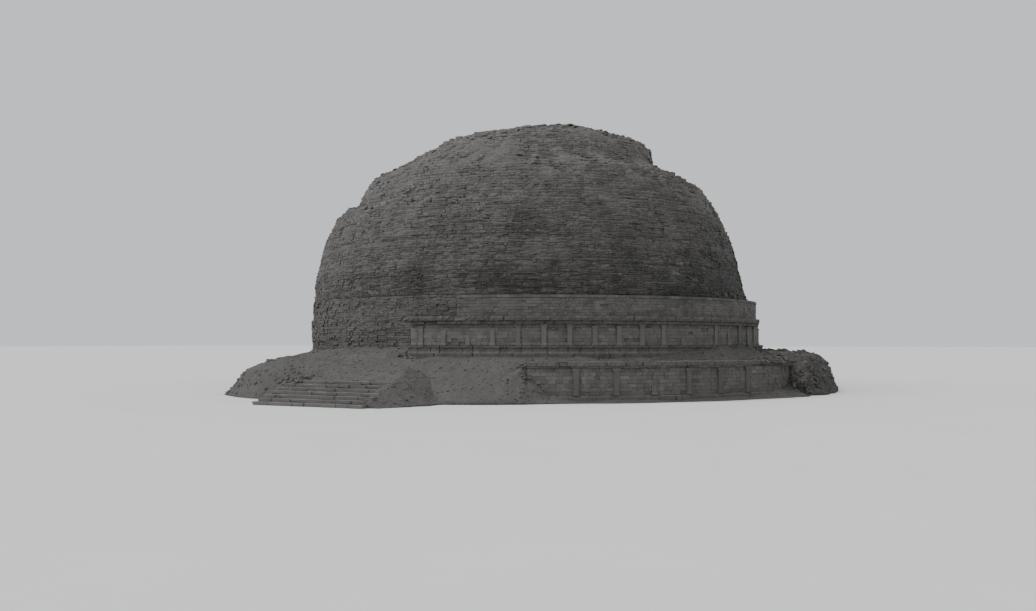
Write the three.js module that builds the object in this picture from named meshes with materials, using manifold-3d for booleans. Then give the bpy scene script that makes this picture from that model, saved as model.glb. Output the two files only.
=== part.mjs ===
// A ruined great stupa of coursed stone at half of its real size: a round terrace with flights of steps,
// a pilastered drum on it, and a solid dome that has lost its facing. Millimetres, +Z up.
// The origin is on the stupa's axis at ground level, and the flights lie on the X and Y axes.
// Azimuths are in degrees from the south (-Y), growing towards the east (+X).
import * as THREE from "three";
import { mergeVertices } from "three/addons/utils/BufferGeometryUtils.js";
import Module from "manifold-3d";

const wasm = await Module();
wasm.setup();

// Scale: every size below is the real one in metres, and mm() turns it into the model's millimetres
const SCALE = 1 / 2;
const mm = (metres) => metres * 1000 * SCALE;
const GAP = 0.3; // millimetres left between pieces that meet on a curved or slanted face
const REACH = 40; // metres, farther than any piece
const radians = THREE.MathUtils.degToRad;

// Terrace
const TERRACE_TOP = 2.7;
const TERRACE_CORE_RADIUS = 23.6;
const TERRACE_WALL_RADIUS = 24.0;
const PLINTH_HEIGHT = 0.4;
const PLINTH_PROJECTION = 0.16;
const WALL_TOP = 2.28;
const COPING_PROJECTION = 0.22;
const COPING_FILLET = 0.12;
const TERRACE_SIDES = 56;
const TERRACE_BAYS = 56;
const TERRACE_FIRST_PILASTER = 46.5;
const PILASTERS_EACH_SIDE = 5;
const TERRACE_PILASTER = { width: 0.4, projection: 0.12, capital: 0.26, spread: 0.1 };

// Flights of steps
const FLIGHT_WIDTH = 8.6;
const FLIGHT_FOOT_RADIUS = 31.2;
const STEP_COUNT = 13;
const STANDING_STEPS = 7; // on the south flight, whose head is broken and buried
const FLIGHT_TOP_LANDING = 0.4;

// Drum
const DRUM_CORE_RADIUS = 19.1;
const MOULDING_TOP = 3.75;
const PILASTER_TOP = 5.26;
const CORNICE_TOP = 5.85;
const UPPER_WALL_TOP = 7.35;
const DRUM_WALL_RADIUS = 19.55;
const UPPER_WALL_RADIUS = 19.38;
const DRUM_BAYS = 68;
const DRUM_SIDES = DRUM_BAYS;
const BAY = 360 / DRUM_BAYS;
const DRUM_PILASTER = { width: 0.36, projection: 0.1, capital: 0.24, spread: 0.09 };

// The facing is lost from the west round to the south, higher up a little farther than below
const LOST_FROM = -16 * BAY;
const LOWER_LOST_TO = 0;
const UPPER_LOST_TO = 2 * BAY;

// Dome: outer radius by height above the ground, on its east side and on its west side
const DOME_SIDES = 52;
const EAST_PROFILE = [
  [7.35, 18.75], [9.6, 18.1], [11.6, 17.5], [13.6, 16.8], [15.3, 16.05], [16.7, 15.2], [17.8, 13.5],
  [18.7, 11.5], [19.4, 10.6], [20.4, 10.6], [21.0, 9.9], [21.7, 8.1], [22.3, 6.3], [22.9, 3.6],
];
const WEST_PROFILE = [
  [7.35, 19.2], [9.6, 19.2], [11.6, 18.6], [13.6, 17.8], [14.6, 17.2], [15.1, 15.8], [16.7, 15.0],
  [17.7, 14.5], [18.3, 13.6], [19.0, 12.0], [19.7, 10.9], [20.4, 9.3], [21.1, 8.3], [21.7, 6.3],
  [22.3, 3.9], [22.9, 1.2],
];
const WORST_AZIMUTH = -62; // where the west profile holds fully
const DOME_TOP = 23.2;
const DOME_STAGES = [
  ["dome_lower", [7.35, 8.4, 9.5, 10.55, 11.6]],
  ["dome_haunch", [11.6, 12.7, 13.7, 14.6, 15.1]],
  ["dome_shoulder", [15.1, 16.0, 16.9, 17.7, 18.3]],
  ["dome_upper", [18.3, 18.9, 19.5, 20.3, 21.0]],
  ["dome_crown", [21.0, 21.6, 22.2, 22.6, 22.9]],
];

// Colours of the stone, the bare core and the fallen debris
const FINISH = {
  ashlar: { color: 0x8b867b, roughness: 0.9, metalness: 0 },
  paving: { color: 0x837d70, roughness: 0.95, metalness: 0 },
  rubble: { color: 0x6f6a61, roughness: 0.95, metalness: 0 },
  debris: { color: 0x857d6e, roughness: 1, metalness: 0 },
};

const stupa = new THREE.Group();

function solid(geometry) {
  const loose = geometry.index ? geometry.toNonIndexed() : geometry;
  const bare = new THREE.BufferGeometry().setAttribute("position", loose.getAttribute("position"));
  const merged = mergeVertices(bare, 1e-3);
  const vertProperties = merged.getAttribute("position").array;
  const triVerts = new Uint32Array(merged.index.array);
  return new wasm.Manifold(new wasm.Mesh({ numProp: 3, vertProperties, triVerts }));
}

function add(name, body, finish) {
  const cut = body.getMesh();
  const geometry = new THREE.BufferGeometry()
    .setAttribute("position", new THREE.BufferAttribute(cut.vertProperties, 3))
    .setIndex(new THREE.BufferAttribute(cut.triVerts, 1));
  const mesh = new THREE.Mesh(geometry, new THREE.MeshStandardMaterial(FINISH[finish]));
  mesh.name = name;
  stupa.add(mesh);
}

// A solid of revolution about the stupa's axis, from a profile of [radius, height] pairs in metres that
// runs from the inside bottom outwards, up and back in. shape(azimuth, radius, height) may alter a radius.
function revolve(profile, sides, shape) {
  const points = profile.map(([radius, height]) => new THREE.Vector2(mm(radius), mm(height)));
  const onAxis = profile[0][0] === 0;
  if (!onAxis) points.push(points[0].clone());
  const geometry = new THREE.LatheGeometry(points, sides);
  geometry.rotateX(Math.PI / 2);
  if (shape) {
    const position = geometry.getAttribute("position");
    for (let i = 0; i < position.count; i += 1) {
      const station = Math.floor(i / points.length) % sides;
      const azimuth = (station / sides) * 360;
      const [radius, height] = profile[(i % points.length) % profile.length];
      const reach = mm(shape(azimuth, radius, height));
      position.setX(i, reach * Math.sin(radians(azimuth)));
      position.setY(i, -reach * Math.cos(radians(azimuth)));
    }
  }
  return solid(geometry);
}

const disc = (radius, from, to, sides) =>
  revolve([[0, from], [radius, from], [radius, to], [0, to]], sides);

// The part of a round body between two azimuths, with half of the gap left at each end
function between(body, from, to, radius) {
  const trim = THREE.MathUtils.radToDeg(GAP / 2 / mm(radius));
  const start = from + trim;
  const sweep = to - trim - start;
  const steps = Math.ceil(sweep / 20);
  const outline = new THREE.Shape([new THREE.Vector2(0, 0)]);
  for (let i = 0; i <= steps; i += 1) {
    const azimuth = radians(start + (sweep * i) / steps);
    outline.lineTo(mm(REACH) * Math.sin(azimuth), -mm(REACH) * Math.cos(azimuth));
  }
  const wedge = new THREE.ExtrudeGeometry(outline, { depth: mm(REACH), bevelEnabled: false });
  wedge.translate(0, 0, -mm(REACH / 2));
  return body.intersect(solid(wedge));
}

// An upright block whose face looks away from the axis
function block(azimuth, innerRadius, outerRadius, width, from, to) {
  const geometry = new THREE.BoxGeometry(mm(width), mm(outerRadius - innerRadius), mm(to - from));
  geometry.translate(0, -mm((innerRadius + outerRadius) / 2), mm((from + to) / 2));
  geometry.rotateZ(radians(azimuth));
  return solid(geometry);
}

// A dwarf pilaster with its capital, rooted in the wall behind it
function pilaster(azimuth, wallRadius, from, to, size) {
  const root = wallRadius - 0.1;
  const face = wallRadius + size.projection;
  const wide = size.width + 2 * size.spread;
  const shaft = block(azimuth, root, face, size.width, from, to);
  const capital = block(azimuth, root, face + 0.06, wide, to - size.capital, to);
  return shaft.add(capital);
}

const withPilasters = (wall, azimuths, ...sizes) =>
  azimuths.reduce((body, azimuth) => body.add(pilaster(azimuth, ...sizes)), wall);

const sequence = (count, value) => Array.from({ length: count }, (_, i) => value(i));

// Terrace: a solid disc of masonry, faced between the flights by a pilastered wall with a coping
const quadrants = [["southeast", 0], ["northeast", 90], ["northwest", 180], ["southwest", 270]];
const flights = [["south", 0], ["east", 90], ["north", 180], ["west", 270]];
const coreClearance = disc(TERRACE_CORE_RADIUS + GAP / mm(1), -1, TERRACE_TOP, TERRACE_SIDES);

const flightSlots = flights
  .map(([, azimuth]) => block(azimuth, 15, 35, FLIGHT_WIDTH + (2 * GAP) / mm(1), -1, 5))
  .reduce((all, slot) => all.add(slot));

function terraceRing(profile) {
  return revolve(profile, TERRACE_SIDES).subtract(flightSlots);
}

// The terrace edge is broken down beside the south flight, and earth and stones lie in the break
const BREAK = { from: -10.5, to: 26, inner: 21.4, innerDepth: 2.3, outerDepth: 1.3, wallTop: 1.68 };

function edgeBreak() {
  const cut = revolve([
    [BREAK.inner, BREAK.innerDepth], [TERRACE_CORE_RADIUS, BREAK.outerDepth],
    [TERRACE_CORE_RADIUS, BREAK.wallTop], [24.8, 0.6], [24.8, 3.4], [BREAK.inner, 3.4],
  ], TERRACE_SIDES);
  return between(cut, BREAK.from - 0.05, BREAK.to + 0.05, TERRACE_CORE_RADIUS);
}

function breakFill() {
  const spare = GAP / mm(1);
  const fill = revolve([
    [BREAK.inner + spare, BREAK.innerDepth + spare], [TERRACE_CORE_RADIUS, BREAK.outerDepth + spare],
    [TERRACE_CORE_RADIUS, BREAK.wallTop], [23.0, 2.2], [22.2, 2.65], [BREAK.inner + spare, 2.9],
  ], TERRACE_SIDES);
  return between(fill, BREAK.from, BREAK.to, TERRACE_CORE_RADIUS);
}

function makeTerrace() {
  const broken = edgeBreak();
  const core = disc(TERRACE_CORE_RADIUS, 0, TERRACE_TOP, TERRACE_SIDES);
  add("terrace_core", core.subtract(broken), "paving");
  add("south_rubble_slope", breakFill(), "debris");
  const inner = TERRACE_CORE_RADIUS + GAP / mm(1);
  const foot = TERRACE_WALL_RADIUS + PLINTH_PROJECTION;
  const wall = terraceRing([
    [inner, 0], [foot, 0], [foot, PLINTH_HEIGHT], [TERRACE_WALL_RADIUS, PLINTH_HEIGHT + 0.08],
    [TERRACE_WALL_RADIUS, WALL_TOP], [inner, WALL_TOP],
  ]);
  const lip = TERRACE_WALL_RADIUS + COPING_PROJECTION;
  const coping = terraceRing([
    [inner, WALL_TOP], [lip - 0.08, WALL_TOP], [lip - 0.08, WALL_TOP + COPING_FILLET],
    [lip, WALL_TOP + COPING_FILLET], [lip, TERRACE_TOP], [inner, TERRACE_TOP],
  ]);
  const spacing = 360 / TERRACE_BAYS;
  for (const [side, start] of quadrants) {
    const azimuths = sequence(
      2 * PILASTERS_EACH_SIDE + 1,
      (i) => start + TERRACE_FIRST_PILASTER + (i - PILASTERS_EACH_SIDE) * spacing,
    );
    const face = withPilasters(
      between(wall, start, start + 90, TERRACE_WALL_RADIUS),
      azimuths, TERRACE_WALL_RADIUS, PLINTH_HEIGHT, WALL_TOP, TERRACE_PILASTER,
    );
    const cap = between(coping, start, start + 90, TERRACE_WALL_RADIUS);
    add("terrace_wall_" + side, face.subtract(broken), "ashlar");
    add("terrace_coping_" + side, cap.subtract(broken), "ashlar");
  }
}

// One flight, drawn in profile from the terrace out to its foot and extruded across its width. Above the
// steps that still stand, a broken flight is level.
const RISER = TERRACE_TOP / STEP_COUNT;
const HEAD_RADIUS = TERRACE_CORE_RADIUS + FLIGHT_TOP_LANDING;
const GOING = (FLIGHT_FOOT_RADIUS - HEAD_RADIUS) / (STEP_COUNT - 1);

function acrossFlight(outline, azimuth) {
  const shape = new THREE.Shape(outline.map(([radius, height]) => new THREE.Vector2(mm(radius), mm(height))));
  const geometry = new THREE.ExtrudeGeometry(shape, { depth: mm(FLIGHT_WIDTH), bevelEnabled: false });
  geometry.translate(0, 0, -mm(FLIGHT_WIDTH / 2));
  geometry.rotateX(Math.PI / 2);
  geometry.rotateZ(radians(azimuth - 90));
  return solid(geometry);
}

function flight(azimuth, standing) {
  const root = TERRACE_CORE_RADIUS - 1;
  const outline = [[root, 0], [FLIGHT_FOOT_RADIUS, 0]];
  for (let i = 0; i < standing; i += 1) {
    const nose = FLIGHT_FOOT_RADIUS - i * GOING;
    outline.push([nose, (i + 1) * RISER]);
    outline.push([i < standing - 1 ? nose - GOING : root, (i + 1) * RISER]);
  }
  return acrossFlight(outline, azimuth).subtract(coreClearance);
}

function makeFlights() {
  for (const [side, azimuth] of flights)
    if (side !== "east") {
      const standing = side === "south" ? STANDING_STEPS : STEP_COUNT;
      add("steps_" + side, flight(azimuth, standing), "ashlar");
    }
  const top = STANDING_STEPS * RISER;
  const edge = FLIGHT_FOOT_RADIUS - STANDING_STEPS * GOING;
  const rubble = acrossFlight([
    [TERRACE_CORE_RADIUS - 1, top], [edge, top], [edge - 0.4, top + 0.22], [edge - 1.5, top + 0.5],
    [edge - 2.6, top + 0.82], [TERRACE_CORE_RADIUS - 1, top + 1.05],
  ], 0);
  add("south_steps_rubble", rubble.subtract(coreClearance).subtract(sideSlope(top)), "debris");
}

// What is missing from the rubble on the south flight on its east side, where it slopes down to the broken
// terrace edge beside it
function sideSlope(foot) {
  const side = FLIGHT_WIDTH / 2;
  const low = foot + 0.12;
  const high = foot + 1.2;
  const section = [[side + 1, low], [side - 0.2, low], [side - 2.2, high], [side + 1, high]];
  const outline = new THREE.Shape(section.map(([x, height]) => new THREE.Vector2(mm(x), mm(height))));
  const geometry = new THREE.ExtrudeGeometry(outline, { depth: mm(REACH), bevelEnabled: false });
  geometry.rotateX(Math.PI / 2);
  return solid(geometry);
}

// Drum: a solid core with a base moulding, a pilastered storey, a cornice and a plain wall set back
// over them, each in four lengths of facing that stop where the facing is lost
function makeDrum() {
  const inner = DRUM_CORE_RADIUS + GAP / mm(1);
  add("drum_core", disc(DRUM_CORE_RADIUS, TERRACE_TOP, UPPER_WALL_TOP, DRUM_SIDES), "rubble");
  const moulding = revolve([
    [inner, TERRACE_TOP], [20.0, TERRACE_TOP], [20.0, 3.2], [19.82, 3.4], [19.82, 3.55],
    [19.94, 3.6], [19.94, MOULDING_TOP], [inner, MOULDING_TOP],
  ], DRUM_SIDES);
  const wall = revolve([
    [inner, MOULDING_TOP], [DRUM_WALL_RADIUS, MOULDING_TOP], [DRUM_WALL_RADIUS, PILASTER_TOP],
    [inner, PILASTER_TOP],
  ], DRUM_SIDES);
  const cornice = revolve([
    [inner, PILASTER_TOP], [19.76, PILASTER_TOP], [19.76, 5.4], [19.95, 5.52], [19.95, 5.72],
    [19.8, CORNICE_TOP], [inner, CORNICE_TOP],
  ], DRUM_SIDES);
  const upperWall = revolve([
    [inner, CORNICE_TOP], [UPPER_WALL_RADIUS, CORNICE_TOP], [UPPER_WALL_RADIUS, 7.1],
    [UPPER_WALL_RADIUS + 0.08, 7.13], [UPPER_WALL_RADIUS + 0.08, UPPER_WALL_TOP], [inner, UPPER_WALL_TOP],
  ], DRUM_SIDES);
  const lengths = ["south", "east", "north", "west"];
  const bays = 13;
  lengths.forEach((side, i) => {
    const start = LOWER_LOST_TO + i * bays * BAY;
    const end = start + bays * BAY;
    const azimuths = sequence(bays, (k) => start + (k + 0.5) * BAY);
    add("drum_base_moulding_" + side, between(moulding, start, end, DRUM_WALL_RADIUS), "ashlar");
    add(
      "drum_wall_" + side,
      withPilasters(
        between(wall, start, end, DRUM_WALL_RADIUS),
        azimuths, DRUM_WALL_RADIUS, MOULDING_TOP, PILASTER_TOP, DRUM_PILASTER,
      ),
      "ashlar",
    );
    add("drum_cornice_" + side, between(cornice, start, end, DRUM_WALL_RADIUS), "ashlar");
    const upperStart = i === 0 ? UPPER_LOST_TO : start;
    add("upper_wall_" + side, between(upperWall, upperStart, end, DRUM_WALL_RADIUS), "ashlar");
  });
}

// Slow swells and hollows of a weathered face, the same at 0 and 360 degrees
function weather(azimuth, height, amount) {
  const a = radians(azimuth);
  const swell = Math.sin(3 * a + 0.7 * height) + 0.7 * Math.sin(7 * a - 1.1 * height + 2);
  return amount * (swell + 0.5 * Math.sin(13 * a + 2.3 * height + 1));
}

// The rough core, bare where the facing is lost
const barePieces = {
  drum_bare_core: { levels: [2.7, 3.3, 4.0, 4.7, 5.3, 5.85], to: LOWER_LOST_TO, radius: 19.42 },
  upper_bare_core: { levels: [5.85, 6.4, 6.9, 7.35], to: UPPER_LOST_TO, radius: 19.27 },
};

function bareCore({ levels, to, radius }) {
  const inner = DRUM_CORE_RADIUS + GAP / mm(1);
  const face = levels.map((height) => [radius, height]);
  const profile = [[inner, levels[0]], ...face, [inner, levels.at(-1)]];
  const shape = (azimuth, r, height) => (r > inner ? r + weather(azimuth, height, 0.035) : r);
  return between(revolve(profile, DRUM_SIDES, shape), LOST_FROM, to, radius);
}

function makeBareCore() {
  for (const [name, size] of Object.entries(barePieces)) add(name, bareCore(size), "rubble");
}

// Dome: one mass of coursed rubble in five stages, its outline between the two profiles
function along(profile, height) {
  const next = profile.findIndex(([level]) => level >= height);
  if (next <= 0) return profile.at(next)[1];
  const [lowLevel, lowRadius] = profile[next - 1];
  const [highLevel, highRadius] = profile[next];
  return lowRadius + ((highRadius - lowRadius) * (height - lowLevel)) / (highLevel - lowLevel);
}

function domeRadius(azimuth, height) {
  const east = (1 - Math.cos(radians(azimuth - WORST_AZIMUTH))) / 2;
  const plain = east * along(EAST_PROFILE, height) + (1 - east) * along(WEST_PROFILE, height);
  return plain + weather(azimuth, height, height > UPPER_WALL_TOP ? 0.07 : 0.01);
}

function makeDome() {
  for (const [name, levels] of DOME_STAGES) {
    const face = levels.map((height) => [1, height]);
    const cap = name === "dome_crown" ? DOME_TOP : levels.at(-1);
    const profile = [[0, levels[0]], ...face, [0, cap]];
    const shape = (azimuth, r, height) => (r > 0 ? domeRadius(azimuth, height) : 0);
    add(name, revolve(profile, DOME_SIDES, shape), "rubble");
  }
}

// Sections of the mounds of fallen stone, from the middle of the foot out and back up to the top
const LOW_BELL = [
  [0, 0], [1, 0], [0.93, 0.1], [0.78, 0.34], [0.6, 0.64], [0.38, 0.88], [0.18, 0.98], [0, 1],
];
const STEEP_BELL = [
  [0, 0], [1, 0], [0.95, 0.2], [0.88, 0.43], [0.78, 0.74], [0.66, 0.91], [0.45, 0.98], [0, 1],
];

// A mound that bends along the terrace edge, spread over an arc. climb raises its side next to the drum.
function heap({ azimuth, radius, arc, depth, height, bell, climb }) {
  const points = bell.map(([r, level]) => new THREE.Vector2(r, level));
  const sides = 30;
  const geometry = new THREE.LatheGeometry(points, sides);
  geometry.rotateX(Math.PI / 2);
  const position = geometry.getAttribute("position");
  for (let i = 0; i < position.count; i += 1) {
    const turn = (Math.floor(i / points.length) % sides) / sides;
    const [r, level] = bell[i % points.length];
    const ragged = r * (1 + weather(360 * turn, radius + 3 * level, 0.045));
    const around = radians(azimuth + (arc / 2) * ragged * Math.sin(2 * Math.PI * turn));
    const outwards = mm(radius + (depth / 2) * ragged * Math.cos(2 * Math.PI * turn));
    const inwards = Math.max(0, -r * Math.cos(2 * Math.PI * turn));
    position.setX(i, outwards * Math.sin(around));
    position.setY(i, -outwards * Math.cos(around));
    position.setZ(i, mm(level * (height + climb * inwards ** 2)));
  }
  return solid(geometry);
}

// Debris on the terrace against the foot of the drum, deepest where the facing came down
const taluses = {
  southwest: { from: LOST_FROM, to: LOWER_LOST_TO - 0.03, inner: 19.6, width: 2.9, height: 1.0 },
  southeast: { from: LOWER_LOST_TO + 0.03, to: 76, inner: 20.03, width: 1.5, height: 0.42 },
  northeast: { from: 78, to: 168, inner: 20.03, width: 1.7, height: 0.5 },
  northwest: { from: 170, to: 360 + LOST_FROM - 2, inner: 20.03, width: 1.4, height: 0.4 },
};

function talus({ from, to, inner, width, height }) {
  const root = inner + GAP / mm(1);
  const profile = [
    [root, TERRACE_TOP], [root + width, TERRACE_TOP], [root + width * 0.5, TERRACE_TOP + height * 0.3],
    [root + width * 0.18, TERRACE_TOP + height * 0.72], [root, TERRACE_TOP + height],
  ];
  const shape = (azimuth, r, level) => (r > root ? root + (r - root) * (1 + weather(azimuth, level, 0.14)) : r);
  return between(revolve(profile, DRUM_BAYS, shape), from, to, inner);
}

// The same bank a little larger, for cutting what lies against it
const grown = ({ from, to, inner, width, height }) => ({
  from: from - 0.1, to: to + 0.1, inner, width: width + 0.02, height: height + 0.02,
});

// The lost east flight lies under its heap, and a bank of debris buries the terrace edge to the southwest
const heaps = {
  east_rubble_heap: {
    azimuth: 98, radius: 22.3, arc: 50, depth: 7.0, height: 3.45, bell: STEEP_BELL, climb: 1.4,
  },
  southwest_rubble_slope: {
    azimuth: -23, radius: 24.0, arc: 36, depth: 7.4, height: 3.2, bell: LOW_BELL, climb: 0,
  },
};

// The cuts leave slivers of a mound on the terrace or beside the steps, which are dropped
const largest = (body) => body.decompose().sort((a, b) => b.volume() - a.volume())[0];

function makeHeaps() {
  const wallReach = TERRACE_WALL_RADIUS + COPING_PROJECTION + GAP / mm(1);
  const terrace = disc(wallReach, -1, TERRACE_TOP, TERRACE_SIDES).subtract(flightSlots).add(coreClearance);
  const drum = disc(20.1, TERRACE_TOP - 0.1, 6, DRUM_SIDES);
  for (const [name, size] of Object.entries(heaps)) {
    let body = heap(size).subtract(terrace).subtract(drum);
    for (const bank of Object.values(taluses)) body = body.subtract(talus(grown(bank)));
    if (name.startsWith("southwest"))
      body = between(body, -60, BREAK.from, TERRACE_CORE_RADIUS).subtract(flightSlots);
    add(name, largest(body), "debris");
  }
}

stupa.name = "stupa";
makeTerrace();
makeFlights();
makeDrum();
makeBareCore();
makeDome();
makeHeaps();
for (const [side, size] of Object.entries(taluses))
  add("terrace_debris_" + side, talus(size).subtract(edgeBreak()), "debris");

export default stupa;
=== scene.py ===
"""The looks of a ruined great stupa at half of its real size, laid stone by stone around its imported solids.

Sizes are the real ones in metres unless a name says otherwise, and SCALE turns them into the model's.
Azimuths are in degrees from the south (-Y), growing towards the east (+X).
"""

import math
import random

import bmesh
import bpy
import numpy as np
from mathutils import Euler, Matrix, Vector, noise
from mathutils.bvhtree import BVHTree


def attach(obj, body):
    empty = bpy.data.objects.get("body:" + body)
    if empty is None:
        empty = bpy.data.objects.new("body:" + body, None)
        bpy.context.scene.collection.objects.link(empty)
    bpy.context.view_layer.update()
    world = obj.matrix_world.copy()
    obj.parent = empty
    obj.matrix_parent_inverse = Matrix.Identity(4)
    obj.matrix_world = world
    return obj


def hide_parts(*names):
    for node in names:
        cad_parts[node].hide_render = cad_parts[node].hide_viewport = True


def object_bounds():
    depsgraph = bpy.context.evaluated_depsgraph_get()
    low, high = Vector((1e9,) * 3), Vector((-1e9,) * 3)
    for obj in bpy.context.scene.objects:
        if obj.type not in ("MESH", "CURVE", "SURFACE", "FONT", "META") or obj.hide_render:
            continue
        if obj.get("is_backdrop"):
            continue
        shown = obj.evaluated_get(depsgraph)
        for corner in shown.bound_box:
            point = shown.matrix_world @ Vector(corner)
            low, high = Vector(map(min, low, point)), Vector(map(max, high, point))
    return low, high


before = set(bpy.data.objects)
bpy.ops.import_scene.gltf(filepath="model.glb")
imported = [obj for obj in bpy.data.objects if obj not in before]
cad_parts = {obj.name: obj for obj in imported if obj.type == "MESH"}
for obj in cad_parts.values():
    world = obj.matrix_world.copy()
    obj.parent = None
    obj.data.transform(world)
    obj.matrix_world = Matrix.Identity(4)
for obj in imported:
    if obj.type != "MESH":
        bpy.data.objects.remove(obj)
solids_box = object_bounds()

SCALE = 0.5
BODY = "root"
OUTSIDE = 40.0  # farther out from the axis than anything on the stupa
ABOVE_ALL = 30.0  # higher than anything on the model, in its own metres

# Terrace and its flights of steps
TERRACE_TOP = 2.7
TERRACE_CORE = 23.6
TERRACE_FACE = 24.0
PLINTH = [(24.0, 0.0), (24.16, 0.0), (24.16, 0.38), (24.02, 0.47), (24.0, 0.47)]
TERRACE_PLINTH_TOP = 0.47
TERRACE_WALL_TOP = 2.28
TERRACE_LEDGE = 1.66  # the wall below it stands also where the edge above is lost
BROKEN_LEDGE = 1.22  # the same beside the broken edge
TERRACE_BAY = 360 / 56
MIDDLE_PILASTER = 46.5
PILASTERS_EACH_SIDE = 5
FLIGHT_WIDTH = 8.6
FLIGHT_FOOT = 31.2
FLIGHT_HEAD = 24.0
STEPS = 13
STANDING_STEPS = 7
RISER = TERRACE_TOP / STEPS
GOING = (FLIGHT_FOOT - FLIGHT_HEAD) / (STEPS - 1)
FLIGHT_HALF_ANGLE = math.degrees(math.asin(FLIGHT_WIDTH / 2 / TERRACE_FACE))
BREAK = (-10.5, 26)  # where the terrace edge is broken down
WALL_AT_BREAK = (-10.6, 26.04)  # where the faced wall ends on both sides of it
LOW_EDGE = (298, 329)  # where the edge on the southwest is lost down to the ledge
LOW_COPING = (283.5, 343)  # where the coping on the southwest ends and where the rest of it ends
BARE_WALL = (71.5, 79.6)  # where the facing beside the east heap is lost
BROKEN_COPING = (66, 82)

# Rows of azimuth, radius where the debris starts to fall, its height there, its fall and its outer end
WORN_EDGE = (
    (-79.0, 23.5, 2.66, 0.2, 23.9), (-76.0, 22.0, 2.68, 0.2, 23.92), (-64.0, 22.0, 2.68, 0.2, 23.92),
    (-60.0, 22.2, 2.66, 0.5, 23.95), (-46.0, 22.4, 2.62, 0.6, 23.95), (-34.0, 22.4, 2.6, 0.5, 23.95),
    (-30.0, 23.9, 2.65, 0.75, 26.2), (-24.0, 24.1, 2.8, 0.8, 26.4), (-18.0, 24.1, 2.82, 0.8, 26.4),
    (-13.0, 24.0, 2.7, 0.8, 26.4), (-9.0, 23.6, 2.5, 0.75, 26.4), (-6.5, 23.0, 2.3, 0.7, 26.0),
)
BROKEN_EDGE = (
    (9.0, 23.2, 2.0, 0.58, 26.4), (14.0, 23.2, 2.02, 0.6, 26.4), (19.0, 23.2, 2.02, 0.64, 26.1),
    (23.0, 23.1, 2.05, 0.7, 25.8), (25.4, 23.0, 2.05, 0.8, 25.3),
)
QUADRANTS = {"southeast": 0, "northeast": 90, "northwest": 180, "southwest": 270}

# Drum
DRUM_CORE = 19.1
MOULDING_TOP = 3.75
PILASTER_TOP = 5.26
CORNICE_TOP = 5.85
UPPER_WALL_TOP = 7.35
DRUM_BAY = 360 / 68
LENGTH_BAYS = 13
LENGTHS = ["south", "east", "north", "west"]
DRUM_FACE = 19.53
UPPER_FACE = 19.38
BAND = (7.13, 7.34)
BED_SET_BACK = 0.045  # how far a wall's bed lies behind its face
UPPER_LOST_TO = 2 * DRUM_BAY
LOST_FROM = -16 * DRUM_BAY
WORN_CORNICE = (94, 134)

# Dome
DOME_STAGES = [
    ("dome_lower", 7.35, 11.6),
    ("dome_haunch", 11.6, 15.1),
    ("dome_shoulder", 15.1, 18.3),
    ("dome_upper", 18.3, 21.0),
    ("dome_crown", 21.0, 23.2),
]
DOME_TOP = 23.2
ROW_DEPTH = 0.42  # of the rows of stones behind each other on a flat shoulder
BARE_LENGTHS = (0.25, 0.7)  # of the stones where a facing is lost

# The round that the smooth noise runs over, and how far apart its seeds lie
NOISE_RADIUS = 18
SEED_STRIDE = 31.7

JOINT = 0.006  # between squared blocks, and on each end of a moulding stone

# How many shapes of each stone there are
SPLIT_KINDS = 9
BLOCK_KINDS = 8
BOULDER_KINDS = 9
PILASTER_LOSSES = (0, 0.05, 0.3, 0, 0.6)  # each pilaster's share that is broken off its top


def clamped(value):
    """A number held between 0 and 1."""
    return max(0.0, min(1.0, value))


def outward(azimuth):
    """The level direction away from the axis at an azimuth."""
    a = math.radians(azimuth)
    return Vector((math.sin(a), -math.cos(a), 0))


def azimuth_of(place):
    """The azimuth of a place, between -180 and 180."""
    return math.degrees(math.atan2(place.x, -place.y))


def facing(azimuth):
    """The turn about the vertical that points a stone's face, its +Y side, away from the axis."""
    return math.radians(azimuth) + math.pi


# Node trees


class Value:
    """A number in a node tree. An expression on it adds the Math nodes."""

    def __init__(self, tree, socket):
        self.tree = tree
        self.socket = socket

    def maths(self, operation, *values):
        """The result of a Math node on some values."""
        return self.tree.value("ShaderNodeMath", {"operation": operation}, dict(enumerate(values)))

    def __add__(self, other):
        return self.maths("ADD", self, other)

    def __radd__(self, other):
        return self.maths("ADD", other, self)

    def __sub__(self, other):
        return self.maths("SUBTRACT", self, other)

    def __mul__(self, other):
        return self.maths("MULTIPLY", self, other)

    def __pow__(self, other):
        return self.maths("POWER", self, other)

    def clamped(self):
        return self.maths("MINIMUM", self.maths("MAXIMUM", self, 0.0), 1.0)


class Tree:
    """Adds nodes to a shader tree or a geometry tree."""

    def __init__(self, nodes):
        self.nodes = nodes

    def node(self, kind, settings=None, sockets=None):
        """A new node with its settings. Each of its sockets takes a plain value, a socket or a Value."""
        made = self.nodes.nodes.new(kind)
        for name, value in (settings or {}).items():
            setattr(made, name, value)
        for name, value in (sockets or {}).items():
            socket = made.inputs[name]
            if isinstance(value, Value):
                self.nodes.links.new(value.socket, socket)
            elif isinstance(value, bpy.types.NodeSocket):
                self.nodes.links.new(value, socket)
            else:
                socket.default_value = value
        return made

    def value(self, kind, settings=None, sockets=None, output=0):
        """One output of a new node as a Value."""
        return Value(self, self.node(kind, settings, sockets).outputs[output])

    def mix(self, factor, first, second):
        """A mix of two colours."""
        sockets = {0: factor, 6: first, 7: second}
        return self.node("ShaderNodeMix", {"data_type": "RGBA"}, sockets).outputs[2]

    def ramp(self, factor, stops):
        """A grey ramp through stops of place and shade."""
        made = self.node("ShaderNodeValToRGB", None, {0: factor})
        elements = made.color_ramp.elements
        while len(elements) < len(stops):
            elements.new(0.5)
        for element, (place, shade) in zip(elements, stops):
            element.position = place
            element.color = (shade, shade, shade, 1)
        return Value(self, made.outputs[0])


# Finishes


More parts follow.
